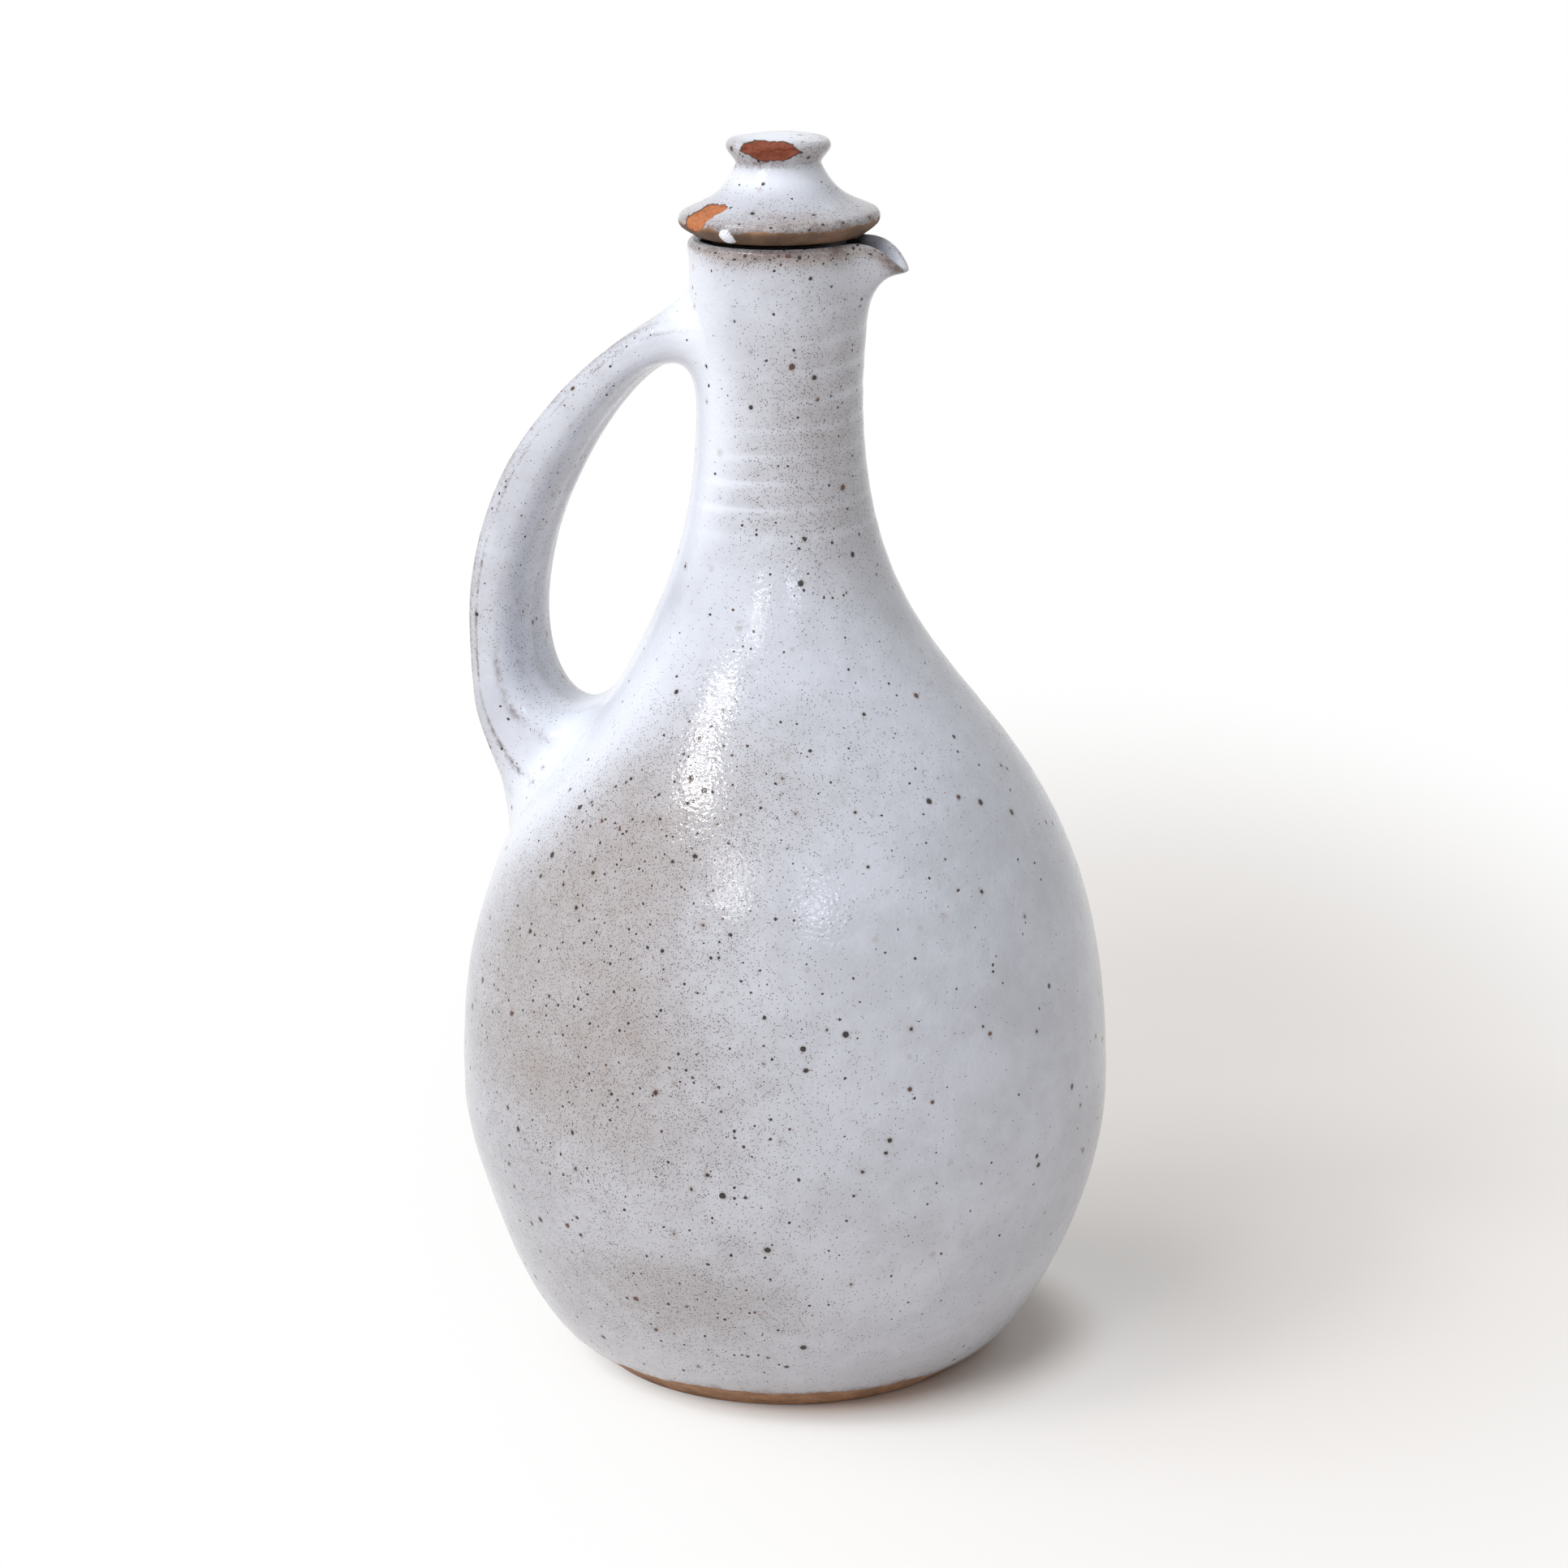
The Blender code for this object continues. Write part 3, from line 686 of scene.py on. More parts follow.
def thrown_body(body):
    """The pot as a grid of rows up its profile and columns round its axis, and what the glaze does there.

    Each point is (radius cos angle, radius sin angle, height). The radius loses a spiral of throwing rings,
    half depth times (1 + cos(turns up the side - angle)), and a slow unevenness; the bare foot lies back by the
    glaze's thickness; near +X the rim is drawn out and down by pull times rise^curl times a blunt bell of the
    angle, and its edge is rolled thicker.
    """
    outline, lip_row = body_outline(body)
    normals = profile_normals(outline)
    along = path_lengths(outline)
    from_lip = (along - along[lip_row + CREST_ROW])[:, None]
    outside = (np.arange(len(outline)) < lip_row)[:, None]
    theta, radius, height, around = turned(outline, BODY_COLUMNS)
    clear = 1.0 - near_roots(theta, radius, height, ROOTS) * outside

    pitch = np.interp(outline[:, 1], RINGS[0], RINGS[2])
    turns = np.concatenate([[0.0], np.cumsum(np.abs(np.diff(outline[:, 1])) / pitch[1:])])[:, None]
    depth = np.interp(outline[:, 1], RINGS[0], RINGS[1])[:, None] * outside
    depth = depth * clear * np.clip(uneven(around, *RING_PATCHES), 0.0, RING_MOST)
    grooves = 0.5 + 0.5 * np.cos(math.tau * turns - theta + uneven(around, *RING_DRIFT))
    sag = SAG_DEPTH * uneven(around, *SAG_PATCHES) * clear * outside * smooth(*SAG_HEIGHTS, height)
    line = body.glaze_line + body.glaze_sway * np.cos(theta - body.sway_angle)
    line = line + sum(uneven(around, *ripple) for ripple in GLAZE_RIPPLES)
    clay_line = np.where(outside, (line - height) / MM, NO_CLAY)
    bare = smooth(-GLAZE_EDGE, GLAZE_EDGE, clay_line) * smooth(0.0, BASE_FADE, height)
    off_spout = np.abs(turn_from(theta, body.spout_turn))
    at_spout = np.exp(-((off_spout / body.spout_spread) ** SPOUT_BLUNTNESS))
    at_tip = np.exp(-((off_spout / body.tip_spread) ** SPOUT_BLUNTNESS))
    roll = body.rim_roll * bell(from_lip, *RIM_BEAD) * (from_lip < RIM_BEAD_END)
    roll = roll + body.spout_roll * at_spout * bell(from_lip, *SPOUT_LIP)
    outward = roll - depth * grooves - sag - body.glaze_step * bare
    radius = np.maximum(radius + outward * normals[:, :1] - patches(theta, height, PRESSES), 0.0)
    height = height + outward * normals[:, 1:]

    rise = np.clip(1.0 - (body.rim_height - height) / body.spout_depth, 0.0, 1.0) ** SPOUT_CURL
    radius = radius + body.spout_pull * rise * at_spout
    height = height - body.spout_droop * rise * at_tip
    grid = around_axis(radius, theta, height)

    ringed = depth / RINGS[1].max() * smooth(*RINGED_HEIGHTS, height)
    wear = RIM_WEAR[0] + RIM_WEAR[1] * np.cos(theta - RIM_WEAR[2])
    iron = body_iron(theta, height) + RING_IRON * ringed * smooth(*RING_CREST, 1.0 - grooves)
    iron = iron + bells(from_lip, *RIM_IRON) * np.clip(uneven(around, *RIM_PATCHES), *RIM_PATCH_RANGE) * wear
    thin = bells(from_lip, RIM_BREAK) * wear + bells(from_lip, SPOUT_BREAK) * at_spout
    pooled = RING_POOLED * ringed * smooth(*RING_GROOVE, grooves) + bells(from_lip, SPOUT_POOL) * at_spout
    pooled = pooled + HALO_POOLED * near_roots(theta, radius, height, HALOS) * outside
    # Painted shade inside the neck, from a little below the crest and lower at the spout
    painted_shade_start, painted_shade_full = (low + more * at_spout for low, more in INSIDE_SHADE_EDGES)
    fields = {
        "clay_line": clay_line,
        "thin_glaze": np.clip(thin * uneven(around, *BREAK_PATCHES), 0.0, 1.0),
        "pooled_glaze_and_light": np.clip(pooled, 0.0, 1.0),
        "iron_and_shade_share": iron,
        "painted_shade": np.where(outside, 0.0, smooth(painted_shade_start, painted_shade_full, from_lip)),
        "chip": NO_CHIP,
    }
    poles = ((0.0, 0.0, 0.0), (0.0, 0.0, body.floor_thickness))
    return grid, poles, fields


def patches(theta, height, table):
    """A sum of soft patches on the pot, each a strength times bells of the angle and the height."""
    total = 0.0
    for degrees, middle, around, up, strength in table:
        turn = turn_from(theta, math.radians(degrees))
        total = total + strength * bell(turn, 0.0, math.radians(around)) * bell(height, middle, up)
    return total


def body_iron(theta, height):
    """How thickly iron lies in the pot's glaze: a low base and soft patches."""
    return np.clip(IRON_BASE + patches(theta, height, IRON_PATCHES), 0.0, 1.0)


def handle_faces(side, handle):
    """The strap's outer and inner face in its middle plane, as matching rows of (distance from axis, height).

    Each face is two cubic curves, from the neck to the outermost point and from there down to the shoulder.
    Both leave the neck along its side, and the inner one lands on the shoulder along its slope.
    """
    far_out = np.array((handle.outer_reach, handle.reach_height))
    far_in = far_out - (handle.thickness, 0.0)
    outer_foot = on_side(side, handle.outer_bottom)
    outer_landing = outer_foot + np.array(OUTER_LANDING) * (far_out - outer_foot)
    inner_foot = on_side(side, handle.inner_bottom + INNER_LANDING[0])
    inner_landing = on_side(side, handle.inner_bottom + INNER_LANDING[1]) + (INNER_LANDING[2], 0.0)
    faces = []
    for top_height, far, start, arch_arm, fall_arm, landing, foot in (
        (handle.outer_top, far_out, OUTER_START, OUTER_ARCH, OUTER_FALL, outer_landing, outer_foot),
        (handle.inner_top, far_in, INNER_START, INNER_ARCH, INNER_FALL, inner_landing, inner_foot),
    ):
        top = on_side(side, top_height)
        drop = top_height - far[1]
        fall = far[1] - foot[1]
        top_arm = top + np.array(start) * (far[0] - top[0], drop)
        arch = cubic(top, top_arm, far + (0.0, arch_arm * drop), far, ARCH_ROWS, ROOT_CROWDING)
        climb = cubic(foot, landing, far - (0.0, fall_arm * fall), far, FALL_ROWS, ROOT_CROWDING)
        faces.append(np.concatenate([arch[:-1], climb[::-1]]))
    return faces


def root_bulge(side, inner, outer, out):
    """How far the pot's side stands out from the straight line between a root's ends, and in which direction.

    out gives places on that line, from -1 at the inner face to 1 at the outer face, and a little past both.
    """
    heights = inner[1] + (outer[1] - inner[1]) * np.linspace(*ROOT_READING)
    points = np.stack([np.interp(heights, side[:, 1], side[:, 0]), heights], axis=-1) - inner
    chord = (outer - inner) / np.linalg.norm(outer - inner)
    outwards = np.array((abs(chord[1]), -chord[0] * np.sign(chord[1])))
    places = points @ chord / np.linalg.norm(outer - inner)
    return np.interp((out + 1) / 2, places, points @ outwards), outwards


def pull_marks(across, out, near_edge):
    """What pulling left on the strap's section, in metres outwards: ridges near its edges and grooves.

    On the outer face a ridge runs just inside each edge; on the inner face a soft groove runs behind each
    rounded edge and two faint finger lines run down the middle. Each is a bell of the place across the strap.
    Over either edge run two fine grooves, each a bell of the turn from the edge's middle.
    """
    faces = np.where(out > 0.0, bells(across, *OUTER_MARKS), bells(across, *INNER_MARKS))
    return faces * smooth(*MARKED_FACE, np.abs(out)) + bells(near_edge, *EDGE_CREASES) * np.sign(out)


def strap_rows(side, handle):
    """Rows down the strap: each one's ends on the outer and inner face, its half width and its gap to the pot.

    The strap is smeared out sideways near the pot by a round fillet, f (1 - sqrt(1 - (1 - gap / f)^2)). Past
    either root a skirt of rows runs on, wider and deeper, so that the fillet ends under the glaze and no edge
    shows.
    """
    outer, inner = handle_faces(side, handle)
    arch = np.linspace(0.0, 1.0, ARCH_ROWS) ** ROOT_CROWDING
    climb = np.linspace(0.0, 1.0, FALL_ROWS) ** ROOT_CROWDING
    half_width = np.interp(
        np.concatenate([arch[:-1], 2.0 - climb[::-1]]),
        (0.0, 1.0, 2.0),
        (handle.top_width / 2, handle.width / 2, handle.bottom_width / 2),
    )
    lift = [root_bulge(side, inner[end], outer[end], 0.0) for end in (0, -1)]
    nearer = np.where(np.arange(len(outer)) < ARCH_ROWS, 0, 1)
    middle = (outer + inner) / 2 + np.array([bulge * outwards for bulge, outwards in lift])[nearer]
    flare = np.gradient(side[:, 0]) / np.gradient(side[:, 1])
    upright = np.interp(middle[:, 1], side[:, 1], 1.0 / np.hypot(1.0, flare))
    gap = np.maximum(middle[:, 0] - np.interp(middle[:, 1], side[:, 1], side[:, 0]), 0.0) * upright
    near = 1.0 - np.clip(gap / handle.root_fillet, 0.0, 1.0)
    half_width = half_width + handle.root_fillet * (1.0 - np.sqrt(1.0 - near ** 2))

    spread = np.array(SKIRT_SPREADS)
    skirts = []
    for end, (_, outwards) in zip((0, -1), lift):
        chord = (outer[end] - inner[end]) / np.linalg.norm(outer[end] - inner[end]) * spread[:, None]
        sunk = outwards * np.array(SKIRT_DEPTHS)[:, None]
        skirts.append((outer[end] + chord - sunk, inner[end] - chord - sunk, half_width[end] + spread))
    outer, inner, half_width = (
        np.concatenate([first[::-1], rows, last])
        for first, rows, last in zip(skirts[0], (outer, inner, half_width), skirts[1])
    )
    return outer, inner, half_width, np.pad(gap, len(spread))


def pulled_handle(body, handle):
    """The strap as a grid of rows from the neck to the shoulder and columns round its section.

    Each row spans its two faces with a superellipse. Near the pot it is bent round the pot's axis and out over
    the pot's own curve, so that it lies on the pot all the way round. Both ends close inside the wall.
    """
    side = body_side(body)
    outer, inner, half_width, gap = strap_rows(side, handle)
    closing = len(CLOSING_ROWS)
    rows = np.pad(np.arange(len(outer)), closing, mode='edge')
    size = np.concatenate([CLOSING_ROWS, np.ones(len(outer)), CLOSING_ROWS[::-1]])[:, None]
    outer, inner = outer[rows], inner[rows]
    half_width, gap = half_width[rows, None], gap[rows, None]
    middle = (outer + inner) / 2
    half_depth = np.linalg.norm(outer - inner, axis=1)[:, None] / 2
    normal = (outer - inner) / (2 * half_depth)
    free = smooth(*FREE_GAP, gap)

    turn = -np.arange(STRAP_COLUMNS)[None, :] * math.tau / STRAP_COLUMNS
    power = 2 / (ROOT_SQUARENESS + (STRAP_SQUARENESS - ROOT_SQUARENESS) * free)
    across, out = (np.sign(part) * np.abs(part) ** power for part in (np.cos(turn), np.sin(turn)))
    outer_face = out > 0.0
    near_edge = np.where(across < 0.0, turn_from(-turn, math.pi), -turn_from(-turn, 0.0))
    groove = handle.thumb_groove * outer_face * bell(across, 0.0, GROOVE_WIDTH)
    marks = (pull_marks(across, out, near_edge) * np.sign(out) - groove) * free
    offset = (half_depth * out + marks) * size
    distance = middle[:, :1] + offset * normal[:, :1]
    height = middle[:, 1:] + offset * normal[:, 1:]
    on_slope = 1.0 - smooth(0.0, SLOPE_GAP, gap)
    upper = (np.arange(len(outer)) < len(outer) // 2)[:, None]
    root = closing + len(SKIRT_SPREADS)
    for end, at_end in ((root, upper), (-1 - root, ~upper)):
        places = out * size * np.maximum(half_depth / half_depth[end], 1.0)
        bulge, outwards = root_bulge(side, inner[end], outer[end], places)
        distance = distance + outwards[0] * bulge * on_slope * at_end
        height = height + outwards[1] * bulge * on_slope * at_end
    aside = half_width * across * size
    bend = aside / middle[:, :1]
    wrap = 1.0 - smooth(0.0, WRAP_GAP, gap)
    grid = np.stack([
        -distance * (wrap * np.cos(bend) + (1.0 - wrap)),
        wrap * distance * np.sin(bend) + (1.0 - wrap) * aside,
        height,
    ], axis=-1)
    theta = np.arctan2(grid[..., 1], grid[..., 0])
    off_pot = np.hypot(grid[..., 0], grid[..., 1]) - np.interp(grid[..., 2], side[:, 1], side[:, 0])
    inward = patches(theta, grid[..., 2], PRESSES) * (1.0 - smooth(0.0, DENT_GAP, off_pot))
    grid[..., 0] -= inward * np.cos(theta)
    grid[..., 1] -= inward * np.sin(theta)
    ripple = uneven(grid, *STRAP_RIPPLE) * free
    grid[..., 0] += ripple * np.where(outer_face, -1.0, 1.0) * np.abs(out)
    grid[..., 2] += RIPPLE_RISE * ripple * out

    lower = LOWER_BREAK[0] + LOWER_BREAK[1] * (1.0 - smooth(*LOWER_HEIGHTS, height))
    streak = np.where(out < 0.0, bells(across, *STREAKS), 0.0) * free
    thin = np.where(outer_face, bells(across, *OUTER_BREAKS), bells(across, *INNER_BREAKS)) * lower * free
    thin = thin + bells(near_edge, EDGE_BREAK) * smooth(*LINE_GAP, gap) * lower + STREAK_BREAK * streak
    thin = thin + bells(near_edge, SMEAR) * bell(height, *SMEAR_HEIGHT) * smooth(*SMEAR_GAP, gap)
    near_pot = (1.0 - smooth(0.0, POOL_GAP, gap)) * np.where(upper, UPPER_POOLED, 1.0)
    pooled = np.clip(STRAP_POOLED[0] + STRAP_POOLED[1] * near_pot + STREAK_POOLED * streak, 0.0, 1.0)
    # More iron on the inner face is painted shade, darkening it where it lies in shadow
    iron_and_inner_shade = STRAP_IRON_AND_SHADE[1] * smooth(0.0, FACE_RISE, out) + STRAP_IRON_AND_SHADE[2] * smooth(0.0, FACE_RISE, -out)
    iron = STRAP_IRON_AND_SHADE[0] + free * iron_and_inner_shade + uneven(grid, *STRAP_IRON_PATCHES)
    iron = np.clip(iron, IRON_LEAST, 1.0)
    meets = 1.0 - smooth(0.0, MEETING_GAP, off_pot)
    halo = near_roots(theta, np.hypot(grid[..., 0], grid[..., 1]), grid[..., 2], HALOS)
    fields = {
        "clay_line": NO_CLAY,
        "thin_glaze": np.clip(thin * np.clip(uneven(grid, *STRAP_PATCHES), 0.0, 1.0), 0.0, 1.0),
        "pooled_glaze_and_light": pooled + (HALO_POOLED * halo - pooled) * meets,
        "iron_and_shade_share": iron + (body_iron(theta, grid[..., 2]) - iron) * meets,
        "painted_shade": 0.0,
        "chip": NO_CHIP,
    }
    poles = ((-middle[0, 0], 0.0, middle[0, 1]), (-middle[-1, 0], 0.0, middle[-1, 1]))
    return grid, poles, fields


def stopper_outline(stopper):
    """The stopper's profile in (radius, height above the seat), from its hollow round to its crown."""
    knob = stopper.knob_radius
    edge = stopper.knob_edge
    top = stopper.height - stopper.knob_crown
    waist = np.array((stopper.waist_radius, stopper.height - stopper.knob_depth))
    brim = np.array((stopper.brim_radius - stopper.brim_edge, stopper.brim_rise - BRIM_DROP))
    rise = waist[1] - stopper.brim_rise
    spread = stopper.brim_radius - stopper.waist_radius
    tip = stopper.plug_radius - stopper.plug_taper
    round_end = stopper.plug_wall / 2
    hollow = tip - stopper.plug_wall
    crown = cubic(
        (CROWN_POLE, stopper.height),
        (knob * CROWN_ARMS[0], stopper.height),
        (knob - edge * (1 + CROWN_ARMS[1]), stopper.height - stopper.knob_crown / 2),
        (knob - edge, top),
        CROWN_POINTS,
    )
    lip = arc((knob - edge, top - edge), edge, math.pi / 2, -KNOB_TURN, KNOB_POINTS)
    fall = np.array((-math.sin(KNOB_TURN), -math.cos(KNOB_TURN)))
    taper = cubic(lip[-1], lip[-1] + fall * KNOB_ARMS[0], waist + (0.0, KNOB_ARMS[1]), waist, KNOB_POINTS)
    nose = arc(brim, stopper.brim_edge, *NOSE_TURNS, NOSE_POINTS)
    slope = cubic(
        waist,
        waist + (WAIST_ARM[0] * spread, -WAIST_ARM[1] * rise),
        (stopper.brim_radius - BRIM_ARM[0] * spread, stopper.brim_rise + BRIM_ARM[1] * rise),
        nose[0],
        SLOPE_POINTS,
    )
    bevel_end = np.array((stopper.bevel_radius, stopper.bevel_gap))
    bevel = cubic(nose[-1], nose[-1] + BEVEL_ARMS[0], bevel_end + BEVEL_ARMS[1], bevel_end, BEVEL_POINTS)
    seat = np.array([bevel_end + SEAT_STEP, (stopper.plug_radius, SEAT_RISE)])
    end = arc((tip - round_end, round_end - stopper.plug_length), round_end, 0.0, -math.pi, END_POINTS)
    roof_centre = (0.0, stopper.hollow_rise - hollow / 2)
    roof = arc(roof_centre, (hollow, hollow / 2), 0.0, ROOF_TURN, ROOF_POINTS)
    line = np.concatenate([crown, lip[1:], taper[1:], slope[1:], nose[1:], bevel[1:], seat, end, roof])
    below_seat = np.arange(len(line)) >= len(line) - len(end) - len(roof)
    return spaced(line, np.where(below_seat, *STOPPER_GAPS))[::-1]


def chip_field(across, down, outline):
    """How far inside a chip a point lies, in millimetres: the least distance to a convex outline's sides."""
    corners = np.array(outline)
    sides = np.roll(corners, -1, axis=0) - corners
    inward = np.stack([-sides[:, 1], sides[:, 0]], axis=-1) / np.linalg.norm(sides, axis=1)[:, None]
    inward *= np.sign(np.sum(inward * (corners.mean(axis=0) - corners), axis=1))[:, None]
    inside = [(across - c[0]) * n[0] + (down - c[1]) * n[1] for c, n in zip(corners, inward)]
    return np.min(inside, axis=0)


def turned_stopper(stopper):
    """The stopper as a grid of rows along its profile and columns round its axis, chipped on knob and brim.

    Inside a chip the surface lies back by depth times an S-shaped rise of the distance from the chip's edge,
    with a broken unevenness, and the knob's chip has a ledge. A drop of glaze bulges on the bare bevel as a
    flat dome. The brim runs higher on one side.
    """
    outline = stopper_outline(stopper)
    normals = profile_normals(outline)
    down = (path_lengths(outline)[-1] - path_lengths(outline))[:, None] / MM
    brim_line = down[np.argmax(np.where(outline[:, 1] > 0.0, outline[:, 0], 0.0)), 0]
    waist_line = down[np.argmin(np.abs(outline[:, 1] - stopper.height + stopper.knob_depth)), 0]
    from_brim = down - brim_line
    from_waist = down - waist_line
    theta, radius, height, around = turned(outline, STOPPER_COLUMNS)

    ragged = sum(uneven(around, *ripple) for ripple in CHIP_RIPPLES)
    knob_chip, brim_chip = (
        chip_field(turn_from(theta, angle_at) * radius / MM, place, shape) + ragged
        for angle_at, place, shape in (
            (stopper.knob_chip_angle, from_waist - KNOB_CHIP_PLACE, KNOB_CHIP),
            (stopper.brim_chip_angle, from_brim - BRIM_CHIP_PLACE, BRIM_CHIP),
        )
    )
    chip = np.maximum(knob_chip, brim_chip)
    broken = np.clip(sum(uneven(around, *patch) for patch in CHIP_PATCHES), *CHIP_RANGE)
    bowl = sum(share * smooth(low, high, chip) for share, low, high in (CHIP_EDGE, CHIP_BOWL))
    ledge = smooth(*LEDGE_RISE, from_waist + uneven(around, *LEDGE_PATCHES)) * smooth(*LEDGE_START, knob_chip)
    depth = stopper.chip_depth * broken * bowl + LEDGE_DEPTH * ledge

    drip_across = turn_from(theta, stopper.drip_angle) * radius
    drip_down = (from_brim - DRIP_PLACE) * MM / DRIP_STRETCH
    from_drip = np.hypot(drip_across, drip_down) / stopper.drip_radius
    in_drip = from_drip < 1.0
    lumps = uneven(around, *STOPPER_LUMPS) * smooth(*LUMP_HEIGHTS, height)
    outward = lumps - depth + DRIP_HEIGHT * np.clip(1.0 - from_drip ** 2, 0.0, 1.0)
    radius = np.maximum(radius + outward * normals[:, :1] * smooth(0.0, AXIS_FADE, radius), 0.0)
    lean = stopper.brim_lean * np.cos(theta - stopper.lean_angle) * radius / stopper.brim_radius
    lean = lean * smooth(*LEAN_START, height) * (1.0 - smooth(*LEAN_END, height))
    height = np.minimum(height + outward * normals[:, 1:] + lean, stopper.height)
    grid = around_axis(radius, theta, height + stopper.seat_height)

    clay_line = from_brim + sum(uneven(around, *ripple) for ripple in STOPPER_GLAZE_RIPPLES)
    clay_line = np.minimum(clay_line, DRIP_EDGE * (from_drip - 1.0) * stopper.drip_radius / MM)
    wear = BRIM_WEAR[0] + BRIM_WEAR[1] * (0.5 + 0.5 * np.cos(theta - stopper.lean_angle))
    thin = bells(from_waist, WAIST_BREAK) * np.clip(uneven(around, *WAIST_PATCHES), 0.0, 1.0)
    thin = np.clip(thin + wear * bells(from_brim, BRIM_BREAK), 0.0, 1.0)
    iron = np.interp(from_waist, *STOPPER_IRON) + uneven(around, *STOPPER_IRON_PATCHES)
    # Painted shade: the bevel under the brim and the plug in the neck are painted darker
    painted_shade = np.maximum(BEVEL_SHADE_SHARE * smooth(*BEVEL_SHADE, from_brim), smooth(*PLUG_SHADE, from_brim))
    # Painted shade in the knob's chip, above the waist
    painted_shade = np.where(from_waist < 0.0, KNOB_CHIP_SHADE_SHARE * smooth(*KNOB_CHIP_SHADE, knob_chip), painted_shade)
    fields = {
        "clay_line": clay_line,
        "thin_glaze": thin * (from_drip > 1.0),
        # The crown's top is painted whiter through the pooled glaze, as painted light
        "pooled_glaze_and_light": bells(from_waist, WAIST_POOL) + bells(down, CROWN_LIGHT) + in_drip,
        "iron_and_shade_share": np.clip(iron, IRON_LEAST, 1.0),
        "painted_shade": np.where((brim_chip > 0.0) | in_drip, 0.0, painted_shade),
        "chip": chip,
    }
    top = (0.0, 0.0, stopper.seat_height + stopper.height)
    hollow = (0.0, 0.0, stopper.seat_height + stopper.hollow_rise)
    return grid, (hollow, top), fields


def surface_object(name, grid, poles, fields, material):
    """A closed mesh object from a grid that runs round on itself, fanned to a pole at either end."""
    rows, columns = grid.shape[:2]
    index = np.arange(rows * columns).reshape(rows, columns)
    beside = np.roll(index, -1, axis=1)
    quads = np.stack([index[:-1], beside[:-1], beside[1:], index[1:]], axis=-1).reshape(-1, 4)
    first, last = rows * columns, rows * columns + 1
    start_fan = np.stack([np.full(columns, first), beside[0], index[0]], axis=-1)
    end_fan = np.stack([np.full(columns, last), index[-1], beside[-1]], axis=-1)
    points = np.concatenate([grid.reshape(-1, 3), np.array(poles)])
    mesh = bpy.data.meshes.new(name)
    mesh.from_pydata(points.tolist(), [], quads.tolist() + start_fan.tolist() + end_fan.tolist())
    for key, values in fields.items():
        values = np.broadcast_to(values, (rows, columns))
        ends = [values[0].mean(), values[-1].mean()]
        attribute = mesh.attributes.new(key, 'FLOAT', 'POINT')
        attribute.data.foreach_set("value", np.concatenate([values.ravel(), ends]).astype(np.float32))
    mesh.materials.append(material)
    mesh.shade_smooth()
    mesh.update()
    if mesh.validate():
        raise RuntimeError(f"the mesh of {name} isn't sound")
    piece = bpy.data.objects.new(name, mesh)
    bpy.context.scene.collection.objects.link(piece)
    return piece


def add_node(tree, kind, inputs=(), output=0, **settings):
    """Add a shader node with its settings, link or set its inputs, and give back one of its outputs.

    Inputs are given by name or number, or as a list in the order of the node's sockets.
    """
    node = tree.nodes.new("ShaderNode" + kind)
    for key, value in settings.items():
        setattr(node, key, value)
    for key, value in inputs.items() if isinstance(inputs, dict) else enumerate(inputs):
        if isinstance(value, bpy.types.NodeSocket):
            tree.links.new(value, node.inputs[key])
        else:
            node.inputs[key].default_value = value
    return node.outputs[output]


def iron_grains(node, place, sizes, share):
    """Iron grains in the glaze, one in each cell: sizes are the cell's and the largest grain's radius.

    Only a share of the cells have theirs. Gives back a mask of the grains, a wider mask of the bleed round them
    and a random tint for each.
    """
    cell, radius = sizes
    away = node("TexVoronoi", {"Vector": place, "Scale": 1.0 / cell}, "Distance", feature='F1')
    chance = node("SeparateColor", (away.node.outputs["Color"],), "Red")
    present = node("Math", (chance, share), operation='LESS_THAN')
    swing, least = (part * radius / cell for part in GRAIN_SIZES)
    reach = node("Math", (chance.node.outputs["Green"], swing, least), operation='MULTIPLY_ADD')
    core, bleed = (node("Math", (reach, part), operation='MULTIPLY') for part in GRAIN_EDGES)
    masks = []
    for end in (reach, bleed):
        fade = node("MapRange", (away, core, end, 1.0, 0.0))
        masks.append(node("Math", (fade, present), operation='MULTIPLY'))
    return (*masks, chance.node.outputs["Blue"])


